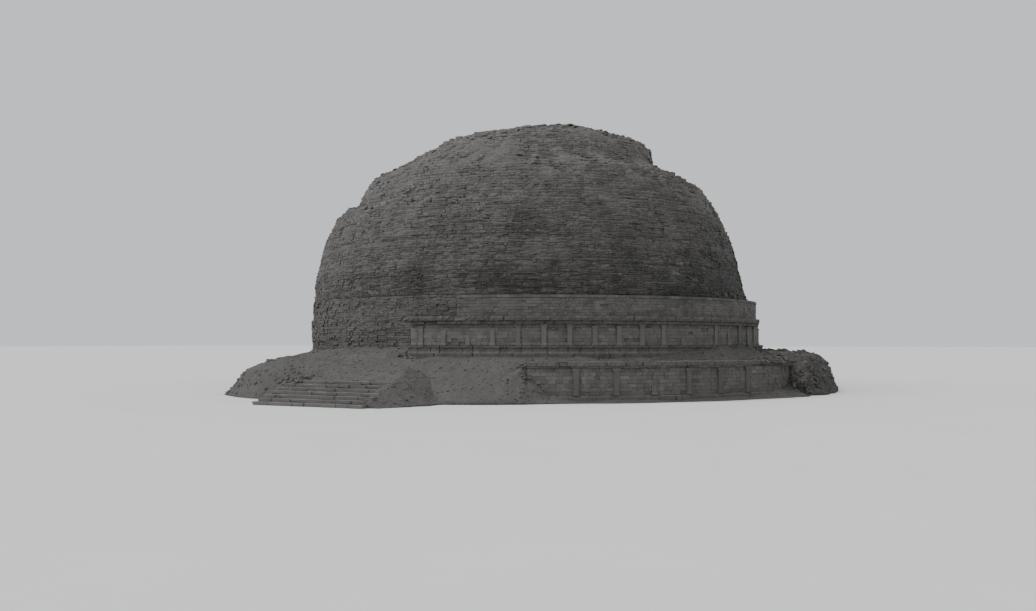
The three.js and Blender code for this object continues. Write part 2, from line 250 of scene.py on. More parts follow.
def grey(shade, warmth=0.05):
    """A stone grey by its middle value, a little warm."""
    return (shade * (1 + warmth), shade, shade * (1 - 1.3 * warmth), 1)


class Finish(Tree):
    """A material on Object coordinates with a rough shader."""

    def __init__(self, name):
        material = bpy.data.materials.new(name)
        material.use_nodes = True
        super().__init__(material.node_tree)
        self.material = material
        self.shader = material.node_tree.nodes["Principled BSDF"]
        self.shader.inputs["Specular IOR Level"].default_value = 0.25
        self.place = self.node("ShaderNodeTexCoord").outputs["Object"]

    def stretched(self, scale):
        """Places scaled by an own factor along X, Y and Z."""
        return self.node("ShaderNodeMapping", None, {"Vector": self.place, "Scale": scale}).outputs[0]

    def cloud(self, scale, detail=4.0, roughness=0.6, place=None):
        """Noise with about this many lumps a metre of the model."""
        sockets = {"Vector": place or self.place, "Scale": scale, "Detail": detail, "Roughness": roughness}
        return self.value("ShaderNodeTexNoise", {"noise_dimensions": "3D"}, sockets)

    def pits(self, scale):
        """Distance to the nearest of many scattered points, 0 at a point."""
        return self.value("ShaderNodeTexVoronoi", None, {"Vector": self.place, "Scale": scale})

    def tone(self):
        """Each stone's own tone, from 0 to 1."""
        return self.value("ShaderNodeAttribute", {"attribute_name": "tone"}, None, "Fac")

    def along(self, axis):
        """Distance along X, Y or Z in metres of the model."""
        split = self.node("ShaderNodeSeparateXYZ", None, {0: self.place})
        return Value(self, split.outputs[axis])

    def finish(self, colour, roughness, relief, distance):
        """Links the colour, roughness and relief to the shader. distance is the relief's depth in metres."""
        bump = self.node("ShaderNodeBump", None, {"Height": relief, "Distance": distance})
        links = self.nodes.links
        links.new(colour, self.shader.inputs["Base Color"])
        links.new(roughness.socket, self.shader.inputs["Roughness"])
        links.new(bump.outputs[0], self.shader.inputs["Normal"])
        return self.material


def weathered_stone(name, dark, light, contrast=1.0, stains=0.35, lumps=0.006, painted_shade_east=0.015, painted_light_up=0.0):
    """Stone that has stood in the open: its own tone, clouds, dark runs, pale lichen and a pitted skin.

    painted_shade_east darkens it towards the east, a painted shade, and painted_light_up makes it paler
    upwards, a painted light from above, both by the metre of the model.
    """
    f = Finish(name)
    patches = f.cloud(0.7, 3)
    clouds = f.cloud(5, 5, 0.65)
    grain = f.cloud(60, 4, 0.7)
    runs = f.ramp(f.cloud(1.6, 4, 0.6, f.stretched((2.4, 2.4, 0.25))), [(0.48, 0), (0.72, 1)])
    lichen = f.ramp(f.cloud(9, 6, 0.7), [(0.58, 0), (0.68, 1)])
    pits = f.ramp(f.pits(70), [(0.05, 1), (0.22, 0)])
    mask = 0.5 + (f.tone() - 0.5) * (0.6 * contrast) + (patches - 0.5) * 0.6 + (clouds - 0.5) * 0.6
    # The X term is a painted shade that darkens the stone towards the east
    mask = mask + (grain - 0.5) * 0.3 - pits * 0.1 - f.along("X") * painted_shade_east
    # A painted light from above: paler upwards
    if painted_light_up:
        mask = mask + (f.along("Z") - 0.6 * DOME_TOP * SCALE) * painted_light_up
    colour = f.mix(mask.clamped(), grey(dark), grey(light))
    colour = f.mix((lichen * 0.25).clamped(), colour, grey(light * 1.2, 0.02))
    colour = f.mix((runs * stains).clamped(), colour, grey(dark * 0.75, 0.03))
    relief = grain * 0.35 + clouds * 0.9 - pits * 0.25
    return f.finish(colour, 0.86 + (grain - 0.5) * 0.2, relief, lumps)


def packed_rubble(name, dark, light):
    """The bed behind the faces: small stones and mortar, dark in its hollows."""
    f = Finish(name)
    cells = f.pits(11)
    small = f.pits(34)
    clouds = f.cloud(3, 5)
    mask = 0.15 + cells * 0.9 + (small - 0.4) * 0.5 + (clouds - 0.5) * 0.7
    colour = f.mix(mask.clamped(), grey(dark), grey(light))
    return f.finish(colour, 0.92 + (small - 0.5) * 0.1, cells * 0.8 + small * 0.5 + clouds, 0.03)


def fallen_earth(name, dark, light):
    """Dry earth and crumbled mortar with small stones in it."""
    f = Finish(name)
    broad = f.cloud(0.8, 4)
    lumps = f.cloud(7, 6, 0.7)
    pebbles = f.pits(26)
    grit = f.pits(85)
    stony = f.ramp(pebbles, [(0.12, 1), (0.32, 0)])
    mask = 0.45 + (broad - 0.5) * 0.8 + (lumps - 0.5) * 1.0 + (grit - 0.4) * 0.3
    colour = f.mix(mask.clamped(), grey(dark), grey(light))
    colour = f.mix((stony * (0.2 + lumps)).clamped(), colour, grey(light * 1.15))
    relief = lumps * 1.2 + stony * 0.5 + grit * 0.15
    return f.finish(colour, 0.93 + (grit - 0.4) * 0.1, relief, 0.02)


def trodden_paving(name, dark, light):
    """Terrace paving under blown dust."""
    f = Finish(name)
    broad = f.cloud(0.6, 4)
    mottle = f.cloud(6, 5, 0.7)
    grit = f.pits(60)
    mask = 0.5 + (broad - 0.5) * 0.9 + (mottle - 0.5) * 0.8 + (grit - 0.4) * 0.2
    colour = f.mix(mask.clamped(), grey(dark, 0.06), grey(light, 0.06))
    return f.finish(colour, 0.93 + (grit - 0.4) * 0.08, mottle + grit * 0.3, 0.012)


def plain_floor(name):
    """A pale, matt studio floor."""
    f = Finish(name)
    mottle = f.cloud(0.4, 3)
    colour = f.mix(mottle.clamped(), grey(0.62, 0.01), grey(0.68, 0.01))
    return f.finish(colour, 0.9 + (mottle - 0.5) * 0.05, mottle, 0.001)


# The name, the dark and the light shade, then contrast, stains, lumps, painted shade to the east and painted
# light upwards where they differ
dome_stone = weathered_stone("weathered_dome_rubble", 0.038, 0.18, 0.9, 0.3, 0.01, 0.018, 0.095)
bare_stone = weathered_stone("weathered_bare_core", 0.045, 0.145, 0.9, 0.3, 0.01, 0.0)
ashlar_stone = weathered_stone("weathered_ashlar", 0.055, 0.165, 1.0, 0.4, 0.006, 0.008)
# Paler ashlar for the drum's storey under the cornice: a painted light that evens out the cornice's cast
# shadow
painted_light_ashlar = weathered_stone("drum_ashlar_painted_light", 0.08, 0.195, 1.0, 0.3, 0.006, 0.008)
carved_stone = weathered_stone("worn_mouldings", 0.055, 0.13, 0.7, 0.5, 0.006, 0.0)
tread_stone = weathered_stone("worn_treads", 0.065, 0.165, 0.7, 0.15)
fallen_stone = weathered_stone("fallen_stones", 0.055, 0.13, 0.6, 0.1, 0.01, 0.0)
dark_fallen_stone = weathered_stone("dark_fallen_stones", 0.03, 0.115, 0.9, 0.2, 0.01, 0.0)
slab_stone = weathered_stone("worn_paving_slabs", 0.045, 0.12, 0.7, 0.1)
rubble_bed = packed_rubble("packed_rubble_bed", 0.03, 0.11)
mortar_bed = packed_rubble("mud_mortar_bed", 0.04, 0.13)
earth = fallen_earth("fallen_earth", 0.058, 0.112)
dark_earth = fallen_earth("dark_fallen_earth", 0.03, 0.09)
dusty_paving = trodden_paving("dusty_terrace_paving", 0.045, 0.115)


# Shapes of single stones, one unit long, deep and high, with the face on the +Y side


def mesh_from(name, points, faces):
    """A new mesh from points and faces."""
    mesh = bpy.data.meshes.new(name)
    mesh.from_pydata([tuple(p) for p in points], [], faces)
    return mesh


def face_outwards(mesh):
    """Turns the faces of a closed mesh outwards."""
    shape = bmesh.new()
    shape.from_mesh(mesh)
    bmesh.ops.recalc_face_normals(shape, faces=shape.faces)
    shape.to_mesh(mesh)
    shape.free()


def lofted(rings, tone=0.5):
    """Points, faces and tone of a closed body through rings of as many points each, with flat ends."""
    n = len(rings[0])
    faces = []
    for first in range(0, n * (len(rings) - 1), n):
        for j in range(n):
            k = (j + 1) % n
            faces.append((first + j, first + k, first + n + k, first + n + j))
    faces.append(tuple(range(n))[::-1])
    faces.append(tuple(n * (len(rings) - 1) + j for j in range(n)))
    return [tuple(p) for ring in rings for p in ring], faces, tone


def hull_stone(name, points):
    """One stone as the hull of its corners."""
    shape = bmesh.new()
    for point in points:
        shape.verts.new(point)
    made = bmesh.ops.convex_hull(shape, input=shape.verts)
    spare = {v for key in ("geom_interior", "geom_unused") for v in made[key]}
    bmesh.ops.delete(shape, geom=[v for v in spare if isinstance(v, bmesh.types.BMVert)], context="VERTS")
    bmesh.ops.recalc_face_normals(shape, faces=shape.faces)
    mesh = bpy.data.meshes.new(name)
    shape.to_mesh(mesh)
    shape.free()
    return bpy.data.objects.new(name, mesh)


def split_stone(number):
    """A roughly split walling stone: a square back, broken corners and a slightly bulging face."""
    draw = random.Random(number)
    points = [(x, -0.5, z) for x in (-0.46, 0.46) for z in (-0.45, 0.45)]
    for x in (-1, 1):
        for z in (-1, 1):
            along, up = draw.uniform(0.05, 0.2), draw.uniform(0.08, 0.3)
            points.append((x * 0.5, draw.uniform(0.36, 0.45), z * (0.5 - up)))
            points.append((x * (0.5 - along), draw.uniform(0.37, 0.46), z * 0.5))
    points.append((draw.uniform(-0.3, 0.3), 0.5, draw.uniform(-0.25, 0.25)))
    return hull_stone(f"split_stone_{number:02d}", points)


def dressed_block(number):
    """A squared facing block with worn arrises, and on some a lost corner."""
    draw = random.Random(100 + number)
    edge = [(x, -0.5, z) for x in (-0.5, 0.5) for z in (-0.5, 0.5)]
    for x in (-1, 1):
        for z in (-1, 1):
            loss = draw.choice((0.015, 0.02, 0.03, 0.12)) if number % 2 else draw.uniform(0.01, 0.03)
            edge.append((x * 0.5, 0.5 - loss, z * 0.5))
            edge.append((x * (0.5 - loss), 0.5, z * (0.5 - 1.6 * loss)))
    return hull_stone(f"dressed_block_{number:02d}", edge)


def boulder(number):
    """A fallen stone: a block with its corners knocked off and one or two bulging sides."""
    draw = random.Random(200 + number)
    points = []
    for x in (-1, 1):
        for y in (-1, 1):
            for z in (-1, 1):
                points.append([side * draw.uniform(0.26, 0.48) for side in (x, y, z)])
    points.append((draw.uniform(-0.2, 0.2), draw.uniform(-0.2, 0.2), 0.5))
    points.append((draw.choice((-0.5, 0.5)), draw.uniform(-0.2, 0.2), draw.uniform(-0.1, 0.2)))
    return hull_stone(f"boulder_{number:02d}", points)


def shape_set(name, shapes):
    """Shapes of stones in a collection, where a tree picks them by number."""
    collection = bpy.data.collections.new(name)
    for shape in shapes:
        collection.objects.link(shape)
    return collection


split_stones = shape_set("split_stones", [split_stone(i) for i in range(SPLIT_KINDS)])
dressed_blocks = shape_set("dressed_blocks", [dressed_block(i) for i in range(BLOCK_KINDS)])
boulders = shape_set("boulders", [boulder(i) for i in range(BOULDER_KINDS)])


# Trees that lay stones


def geometry_tree(name, inputs):
    """An empty tree with named inputs and one geometry as its output."""
    tree = bpy.data.node_groups.new(name, "GeometryNodeTree")
    for label, kind in inputs:
        tree.interface.new_socket(name=label, in_out="INPUT", socket_type=kind)
    tree.interface.new_socket(name="Geometry", in_out="OUTPUT", socket_type="NodeSocketGeometry")
    return tree


def roughened(t, geometry, amount, lumps, seed):
    """Moves every point by a noise that grows with amount, so that no two stones stay alike."""
    place = t.node("GeometryNodeInputPosition").outputs[0]
    sockets = {"Vector": place, "W": seed, "Scale": lumps, "Detail": 1.0}
    swirl = t.node("ShaderNodeTexNoise", {"noise_dimensions": "4D"}, sockets).outputs["Color"]
    sockets = {0: swirl, 1: (0.5, 0.5, 0.5)}
    centred = t.node("ShaderNodeVectorMath", {"operation": "SUBTRACT"}, sockets).outputs[0]
    return moved(t, geometry, scaled(t, centred, amount))


def scaled(t, vector, factor):
    """A vector times a number."""
    return t.node("ShaderNodeVectorMath", {"operation": "SCALE"}, {0: vector, "Scale": factor}).outputs[0]


def moved(t, geometry, offset):
    """Every point of a geometry moved by an offset of its own."""
    return t.node("GeometryNodeSetPosition", None, {"Geometry": geometry, "Offset": offset}).outputs[0]


def set_on_points(t, points, stones, kind, angles, size):
    """Sets one stone of a collection on every point, as plain instances."""
    sockets = {"Collection": stones, "Separate Children": True, "Reset Children": True}
    parts = t.node("GeometryNodeCollectionInfo", None, sockets).outputs[0]
    turn = t.node("FunctionNodeEulerToRotation", None, {0: angles}).outputs[0]
    return t.node("GeometryNodeInstanceOnPoints", None, {
        "Points": points, "Instance": parts, "Pick Instance": True,
        "Instance Index": kind, "Rotation": turn, "Scale": size,
    }).outputs[0]


def end_tree(t, geometry, finish):
    """Gives the result its finish and ends the tree."""
    finished = t.node("GeometryNodeSetMaterial", None, {"Geometry": geometry, "Material": finish})
    t.node("NodeGroupOutput", None, {0: finished.outputs[0]})


def laying_tree():
    """Sets a stone on every guide point, by the point's size, turn and kind, and roughens the whole."""
    tree = geometry_tree("lay_stones", [
        ("Guide Points", "NodeSocketGeometry"), ("Stones", "NodeSocketCollection"),
        ("Roughness", "NodeSocketFloat"), ("Lumps", "NodeSocketFloat"), ("Seed", "NodeSocketFloat"),
        ("Finish", "NodeSocketMaterial"),
    ])
    t = Tree(tree)
    given = t.node("NodeGroupInput").outputs
    named = {}
    for name, kind in (("size", "FLOAT_VECTOR"), ("turn", "FLOAT_VECTOR"), ("kind", "INT")):
        settings = {"data_type": kind}
        named[name] = t.node("GeometryNodeInputNamedAttribute", settings, {"Name": name}).outputs["Attribute"]
    points, stones = given["Guide Points"], given["Stones"]
    laid = set_on_points(t, points, stones, named["kind"], named["turn"], named["size"])
    joined = t.node("GeometryNodeRealizeInstances", None, {0: laid}).outputs[0]
    end_tree(t, roughened(t, joined, given["Roughness"], given["Lumps"], given["Seed"]), given["Finish"])
    return tree


def mesh_of(base):
    """The mesh of an object with its modifiers applied. The object itself is removed."""
    bpy.context.view_layer.update()
    graph = bpy.context.evaluated_depsgraph_get()
    mesh = bpy.data.meshes.new_from_object(base.evaluated_get(graph))
    old = base.data
    bpy.data.objects.remove(base)
    bpy.data.meshes.remove(old)
    return mesh


def plain_result(piece_name, base, tree, values):
    """Runs a tree on an object and keeps the result as a plain mesh in an object of its own."""
    bpy.context.scene.collection.objects.link(base)
    modifier = base.modifiers.new("laying", "NODES")
    modifier.node_group = tree
    for item in tree.interface.items_tree:
        if item.item_type == "SOCKET" and item.in_out == "INPUT" and item.name in values:
            modifier[item.identifier] = values[item.name]
    mesh = mesh_of(base)
    mesh.name = piece_name
    for spare in ("size", "turn", "kind"):
        if spare in mesh.attributes:
            mesh.attributes.remove(mesh.attributes[spare])
    return bpy.data.objects.new(piece_name, mesh)


LAY_STONES = laying_tree()


class Laying:
    """Guide points for the stones of one piece."""

    def __init__(self, seed):
        self.draw = random.Random(seed)
        self.seed = seed
        self.stones = []

    def put(self, place, size, turn, tone, kinds):
        """Adds a stone of one of so many kinds."""
        kind = self.draw.randrange(kinds)
        self.stones.append((tuple(place), tuple(size), tuple(turn), kind, clamped(tone)))

    def build(self, name, shapes, finish, roughness, lumps=3.0):
        """The stones as one piece.

        roughness is how far their skin is moved, in real metres, and lumps how fine the noise for it is.
        """
        mesh = bpy.data.meshes.new(name + "_guide")
        mesh.vertices.add(len(self.stones))
        places = np.array([s[0] for s in self.stones], np.float32) * SCALE
        mesh.vertices.foreach_set("co", places.ravel())
        columns = (
            ("size", "FLOAT_VECTOR", "vector", 1, SCALE), ("turn", "FLOAT_VECTOR", "vector", 2, 1),
            ("kind", "INT", "value", 3, 1), ("tone", "FLOAT", "value", 4, 1),
        )
        for label, kind, field, column, factor in columns:
            attribute = mesh.attributes.new(label, kind, "POINT")
            dtype = np.int32 if kind == "INT" else np.float32
            values = np.array([s[column] for s in self.stones], dtype)
            attribute.data.foreach_set(field, (values * dtype(factor)).ravel())
        base = bpy.data.objects.new(name + "_guide", mesh)
        return plain_result(name, base, LAY_STONES, {
            "Stones": shapes, "Roughness": roughness * SCALE, "Lumps": lumps, "Seed": float(self.seed),
            "Finish": finish,
        })


def held_in_box(mesh):
    """Flattens what reaches past the box of the solids."""
    points = np.empty(len(mesh.vertices) * 3, np.float32)
    mesh.vertices.foreach_get("co", points)
    points = points.reshape(-1, 3)
    np.clip(points, np.array(solids_box[0]), np.array(solids_box[1]), out=points)
    mesh.vertices.foreach_set("co", points.ravel())
    mesh.update()


def keep(piece, slot, *nodes, smooth=False):
    """Links a finished piece, rides it on the body and lets it stand for its solids."""
    held_in_box(piece.data)
    bpy.context.scene.collection.objects.link(piece)
    if smooth:
        piece.data.shade_smooth()
    else:
        piece.data.shade_flat()
    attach(piece, BODY)
    if nodes:
        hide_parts(*nodes)
    return piece


# Faces of the solids, which the stones are laid on


class Surface:
    """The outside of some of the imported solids. wander is how far its ledges move up and down, in metres."""

    def __init__(self, *nodes, wander=0.0):
        points, faces = [], []
        for node in nodes:
            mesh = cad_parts[node].data
            first = len(points)
            points += [v.co.copy() for v in mesh.vertices]
            faces += [[first + i for i in p.vertices] for p in mesh.polygons]
        self.tree = BVHTree.FromPolygons(points, faces)
        self.low = min(p.z for p in points) / SCALE
        self.high = max(p.z for p in points) / SCALE
        self.wander = wander

    def radius(self, azimuth, height):
        """The outermost radius at an azimuth and a height, or 0 where there is nothing."""
        if self.wander:
            height += self.wander * (cloud(azimuth, height, 0.4, 17) + 0.5 * cloud(azimuth, height, 1.1, 18))
            height = max(self.low + 0.05, min(self.high - 0.05, height))
        way = outward(azimuth)
        start = way * OUTSIDE * SCALE + Vector((0, 0, height * SCALE))
        hit = self.tree.ray_cast(start, -way, OUTSIDE * SCALE)[0]
        return math.hypot(hit.x, hit.y) / SCALE if hit else 0.0

    def top(self, x, y):
        """The highest point over a place, or None."""
        hit = self.tree.ray_cast(Vector((x * SCALE, y * SCALE, ABOVE_ALL)), Vector((0, 0, -1)))[0]
        return hit.z / SCALE if hit else None


def cloud(azimuth, height, grain, seed=0):
    """A smooth noise from about -1 to 1 over a round face."""
    a = math.radians(azimuth)
    around = NOISE_RADIUS * grain
    place = Vector((math.sin(a) * around, math.cos(a) * around, height * grain + SEED_STRIDE * seed))
    return noise.noise(place)


def lumpy(place, seed):
    """An unevenness of about -1 to 1 at a place of a bank."""
    return noise.noise(place * 1.1 + Vector((seed, 0, 0))) + 0.6 * noise.noise(place * 2.9)


# Dome: rough courses of split stones over a bed of rubble


def along_run(course, metres, grain):
    """A smooth noise along one course, from about -1 to 1."""
    return noise.noise(Vector((metres / grain, course, 0.0)))


def swell(azimuth, height):
    """How far the ruined face bulges or has sunk, in metres."""
    return 0.07 * cloud(azimuth, height, 0.35, 1) + 0.05 * cloud(azimuth, height, 1.1, 2)


def lay_split_stone(laying, centre, face, low, size, tone, loose):
    """One split stone in its course, or two or three thin ones in its place. loose tilts and turns it."""
    draw = laying.draw
    length, depth, rise = size
    cuts = [0.0, 1.0]
    if rise > 0.19 and draw.random() < 0.4:
        cuts.insert(1, draw.uniform(0.35, 0.65))
    for low_share, high_share in zip(cuts, cuts[1:]):
        share = high_share - low_share
        high = rise * share * draw.uniform(0.95, 1.12)
        out = face + (draw.gauss(0, 0.02) if share < 1 else 0)
        place = outward(centre + math.degrees(draw.gauss(0, 0.03) / max(1.0, out))) * (out - depth / 2)
        place.z = low + rise * (low_share + high_share) / 2 + draw.gauss(0, 0.012)
        block = (length * draw.uniform(1.0, 1.14), depth, high)
        pitch, roll = draw.gauss(0, 0.02 + loose), draw.gauss(0, 0.03 + 0.6 * loose)
        turn = facing(centre) + draw.gauss(0, 0.05 + 2 * loose)
        laying.put(place, block, (pitch, roll, turn), tone, SPLIT_KINDS)


def rough_course(laying, surface, low, rise, arc, lengths, bed, losses, upright=False, proud=0.0):
    """One course of split stones along an arc, with rows behind it where the face slopes back.

    bed is how deep the stones are, losses the share that is lost, and proud how far the course stands
    out. An upright face has no rows behind it.
    """
    draw = laying.draw
    middle = low + rise / 2
    azimuth, end = arc
    course = draw.uniform(0, 100)
    course_tone = draw.uniform(-0.08, 0.08)
    proud += draw.gauss(0, 0.015)
    while azimuth < end:
        radius = surface.radius(min(azimuth + 0.2, end - 0.1), middle)
        if radius < 0.3:
            azimuth += 8
            continue
        span = lengths[0] + (lengths[1] - lengths[0]) * draw.random() ** 1.4
        turn = min(math.degrees(span / radius), end - azimuth)
        if end - azimuth - turn < math.degrees(0.15 / radius):
            turn = end - azimuth
        centre = azimuth + turn / 2
        azimuth += turn
        radius = surface.radius(centre, middle)
        length = math.radians(turn) * radius
        going = 0.0 if upright else max(0.0, radius - surface.radius(centre, low + 1.5 * rise))
        loose = min(0.07, 0.05 * max(0.0, going / rise - 0.8))
        rows = max(1, math.ceil((going - 0.1) / ROW_DEPTH))
        metres = math.radians(centre) * radius
        sunk = swell(centre, middle) + 0.06 * along_run(course, metres, 1.3) + proud
        sunk += 8 * loose * (0.6 * cloud(centre, middle, 0.5, 10) + 0.4 * along_run(course, metres, 0.9))
        lost = cloud(centre, middle, 0.28, 3) + 0.5 * cloud(centre, middle, 1.3, 4)
        tone = 0.5 + course_tone + 0.2 * along_run(course + 50, metres, 1.6)
        tone += 0.22 * cloud(centre, middle, 0.4, 6)
        chance = losses * (3.0 if lost > 0.25 else 0.4) + 1.2 * loose
        for row in range(rows):
            if draw.random() < chance:
                continue
            out = draw.gauss(0, 0.02) + (draw.uniform(0.03, 0.1) if draw.random() < 0.04 else 0)
            depth = bed + draw.uniform(-0.06, 0.1)
            face = radius - row * ROW_DEPTH + sunk + out
            if face < 0.35:
                continue
            wave = 0.05 * cloud(centre, low, 0.5, 5) - (draw.uniform(0, 0.06) if row else 0)
            own = tone + draw.gauss(0, 0.1)
            lay_split_stone(laying, centre, face, low + wave, (length, depth, rise), own, loose)


def rough_rises(draw, low, high):
    """The foot and the rise of each rough course between two heights."""
    while low < high - 0.05:
        rise = draw.uniform(0.14, 0.27)
        if high - low - rise < 0.12:
            rise = high - low
        yield low, rise
        low += rise


def make_dome_bed(surface):
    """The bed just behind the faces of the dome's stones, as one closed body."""
    step, probe = 0.32, 0.4
    heights = [UPPER_WALL_TOP + 0.02]
    while heights[-1] < DOME_TOP - 0.55:
        heights.append(heights[-1] + step)
    rings = []
    for height in heights:
        ring = []
        for azimuth in np.arange(0, 360, 2.0):
            radius = surface.radius(azimuth, height)
            shallow = (radius - surface.radius(azimuth, height + probe)) / probe - 0.7
            cover = max(0.0, min(1.2, shallow)) * (0.45 * cloud(azimuth, height, 0.6, 21) + 0.08)
            cover += np.interp(azimuth, (20, 200, 250, 330, 380), (0, 0, 0.045, 0.045, 0))
            radius = max(0.1, radius + swell(azimuth, height) - 0.09 + cover)
            ring.append(outward(azimuth) * radius + Vector((0, 0, height)))
        rings.append(ring)
    keep(joined_stones("dome_bed", [lofted(rings)], mortar_bed), "dome_rubble", smooth=True)


def make_dome():
    """The dome's five stages in courses, some of them thin and level, and the bed behind them."""
    surface = Surface(*[stage[0] for stage in DOME_STAGES], wander=0.3)
    layings = {name: Laying(seed=11 + i) for i, (name, _, _) in enumerate(DOME_STAGES)}
    draw = random.Random(5)
    low = UPPER_WALL_TOP
    while low < DOME_TOP - 0.3:
        level = draw.random() < 0.25
        rise = draw.uniform(0.09, 0.14) if level else draw.uniform(0.15, 0.29)
        rise = min(rise, DOME_TOP - 0.16 - low)
        name = next(n for n, _, high in DOME_STAGES if low + rise / 2 < high)
        losses = 0.14 if low < UPPER_WALL_TOP + 0.4 else 0.012
        lengths = (0.34, 1.15) if level else (0.22, 0.95)
        seam = 190 + draw.uniform(0, 20)
        proud = 0.03 if level else 0.0
        arc = (seam, seam + 360)
        rough_course(layings[name], surface, low, rise, arc, lengths, bed=0.5, losses=losses, proud=proud)
        low += rise
    for name, laying in layings.items():
        piece = laying.build(name + "_stones", split_stones, dome_stone, roughness=0.07)
        keep(piece, "dome_rubble", name)
    make_dome_bed(surface)


# Bare core of the drum, where the facing is lost


def make_core_bed(name, surface, start, end, top):
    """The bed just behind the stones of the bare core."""
    inner = DRUM_CORE + 0.01
    foot = TERRACE_TOP + 0.02 if top < CORNICE_TOP else CORNICE_TOP + 0.02
    heights = np.linspace(foot, top, math.ceil((top - foot) / 0.3) + 1)
    azimuths = np.linspace(start + 0.05, end - 0.05, math.ceil((end - start) / 1.5) + 1)
    rings = []
    for azimuth in azimuths:
        faces = [surface.radius(azimuth, z) + swell(azimuth, z) - 0.12 for z in heights]
        section = [(max(inner + 0.02, r), z) for r, z in zip(faces, heights)]
        rings.append(section_at(azimuth, [(inner, foot)] + section + [(inner, top)]))
    keep(joined_stones(name, [lofted(rings)], mortar_bed), "core_rubble")


def make_bare_core():
    """The drum's core from the west to the south, in rough courses."""
    lots = (
        ("drum_bare_core", TERRACE_TOP, CORNICE_TOP, LOST_FROM, -0.1, 21),
        ("upper_bare_core", CORNICE_TOP, UPPER_WALL_TOP, LOST_FROM, UPPER_LOST_TO - 0.1, 22),
    )
    for node, low, high, start, end, seed in lots:
        surface = Surface(node)
        laying = Laying(seed)
        for foot, rise in rough_rises(laying.draw, low, high):
            arc = (start, end)
            rough_course(laying, surface, foot, rise, arc, BARE_LENGTHS, bed=0.34, losses=0.03, upright=True)
        piece = laying.build(node + "_stones", split_stones, bare_stone, roughness=0.07)
        keep(piece, "core_rubble", node)
        make_core_bed(node + "_bed", surface, start, end, high - 0.06)


# Faced walls


def signed(azimuth):
    """An azimuth between -180 and 180."""
    return (azimuth + 180) % 360 - 180


def in_break(azimuth):
    """Whether the terrace edge is broken down at an azimuth."""
    return BREAK[0] < signed(azimuth) < BREAK[1]


def in_worn_edge(azimuth):
    """Whether the terrace edge is worn round under debris at an azimuth."""
    return WORN_EDGE[0][0] < signed(azimuth) < BREAK[0]


def edge_row(table, azimuth):
    """The values of a table of edges at an azimuth, between its rows."""
    columns = list(zip(*table))
    return [np.interp(signed(azimuth), columns[0], column) for column in columns[1:]]


def face_block(laying, azimuth, face, length, low, high, back, tone):
    """One squared block, its face at a radius and its back at another."""
    draw = laying.draw
    out = face + draw.gauss(0, 0.007) - 0.05 * max(0.0, cloud(azimuth, low, 0.6, 12))
    depth = out - back
    place = outward(azimuth) * (back + depth / 2)
    place.z = (low + high) / 2
    size = (length - JOINT, depth, high - low - JOINT)
    turn = (draw.gauss(0, 0.004), draw.gauss(0, 0.004), facing(azimuth) + draw.gauss(0, 0.008))
    laying.put(place, size, turn, tone, BLOCK_KINDS)


def split_length(draw, length, shortest, longest):
    """The ends of the blocks that fill a stretch of wall."""
    count = max(1, round(length / draw.uniform(shortest, longest)))
    cuts = sorted(draw.uniform(-0.25, 0.25) + i for i in range(1, count))
    marks = [0] + [c / count for c in cuts] + [1]
    return [(a * length, b * length) for a, b in zip(marks, marks[1:])]


def dressed_course(laying, face, low, high, start, end, lengths, depth, loss, tone):
    """One course of squared blocks along an arc, with its face at a radius.

    loss is the share of lost blocks where it is sound. Where it is ruined, most are lost.
    """
    middle = (low + high) / 2
    for first, last in split_length(laying.draw, math.radians(end - start) * face, *lengths):
        centre = start + math.degrees((first + last) / 2 / face)
        ruin = cloud(centre, middle, 0.45, 13) + 0.4 * cloud(centre, middle, 1.4, 14)
        broken = in_break(centre) or LOW_EDGE[0] < centre < LOW_EDGE[1]
        if broken and TERRACE_PLINTH_TOP < middle < TERRACE_TOP:
            ruin += 0.25 + 0.2 * middle
        if laying.draw.random() < (0.7 if ruin > 0.5 else loss):
            continue
        own = 0.5 + tone + laying.draw.gauss(0, 0.17)
        face_block(laying, centre, face, last - first, low, high, face - depth, own)


def section_at(azimuth, section):
    """A section of radii and heights, stood at an azimuth."""
    return [outward(azimuth) * r + Vector((0, 0, z)) for r, z in section]


def wall_bed(name, inner, face, low, high, start, end):
    """The plain bed of mortar and rubble behind a faced wall."""
    profile = [(inner, low), (face, low), (face, high), (inner, high)]
    azimuths = np.linspace(start, end, max(2, math.ceil((end - start) / 3)) + 1)
    rings = [section_at(a, profile) for a in azimuths]
    keep(joined_stones(name, [lofted(rings)], mortar_bed), "core_rubble")


def levels(low, high, count):
    """The foot and the top of each of so many equal courses."""
    step = (high - low) / count
    return [(low + i * step, low + (i + 1) * step) for i in range(count)]


def make_upper_walls():
    """The plain wall over the cornice, with a thin band on top."""
    course = {"lengths": (0.4, 0.7), "depth": 0.27, "loss": 0.01}
    band = {"lengths": (0.6, 1.1), "depth": 0.31, "loss": 0.1, "tone": -0.12}
    for i, side in enumerate(LENGTHS):
        node = "upper_wall_" + side
        laying = Laying(seed=31 + i)
        start = (UPPER_LOST_TO if side == "south" else i * LENGTH_BAYS * DRUM_BAY) + 0.02
        end = (i + 1) * LENGTH_BAYS * DRUM_BAY - 0.02
        for low, high in levels(CORNICE_TOP, BAND[0] - 0.01, 6):
            tone = laying.draw.gauss(0, 0.08)
            ragged = start + (abs(laying.draw.gauss(0, 1.2)) if side == "south" else 0)
            dressed_course(laying, UPPER_FACE, low, high, ragged, end, tone=tone, **course)
        dressed_course(laying, UPPER_FACE + 0.04, *BAND, start + 0.5, end, **band)
        piece = laying.build(node + "_blocks", dressed_blocks, ashlar_stone, roughness=0.014)
        keep(piece, "dressed_stone", node)
        back = UPPER_FACE - BED_SET_BACK
        wall_bed(node + "_bed", DRUM_CORE + 0.01, back, CORNICE_TOP, BAND[1] - 0.01, start, end)


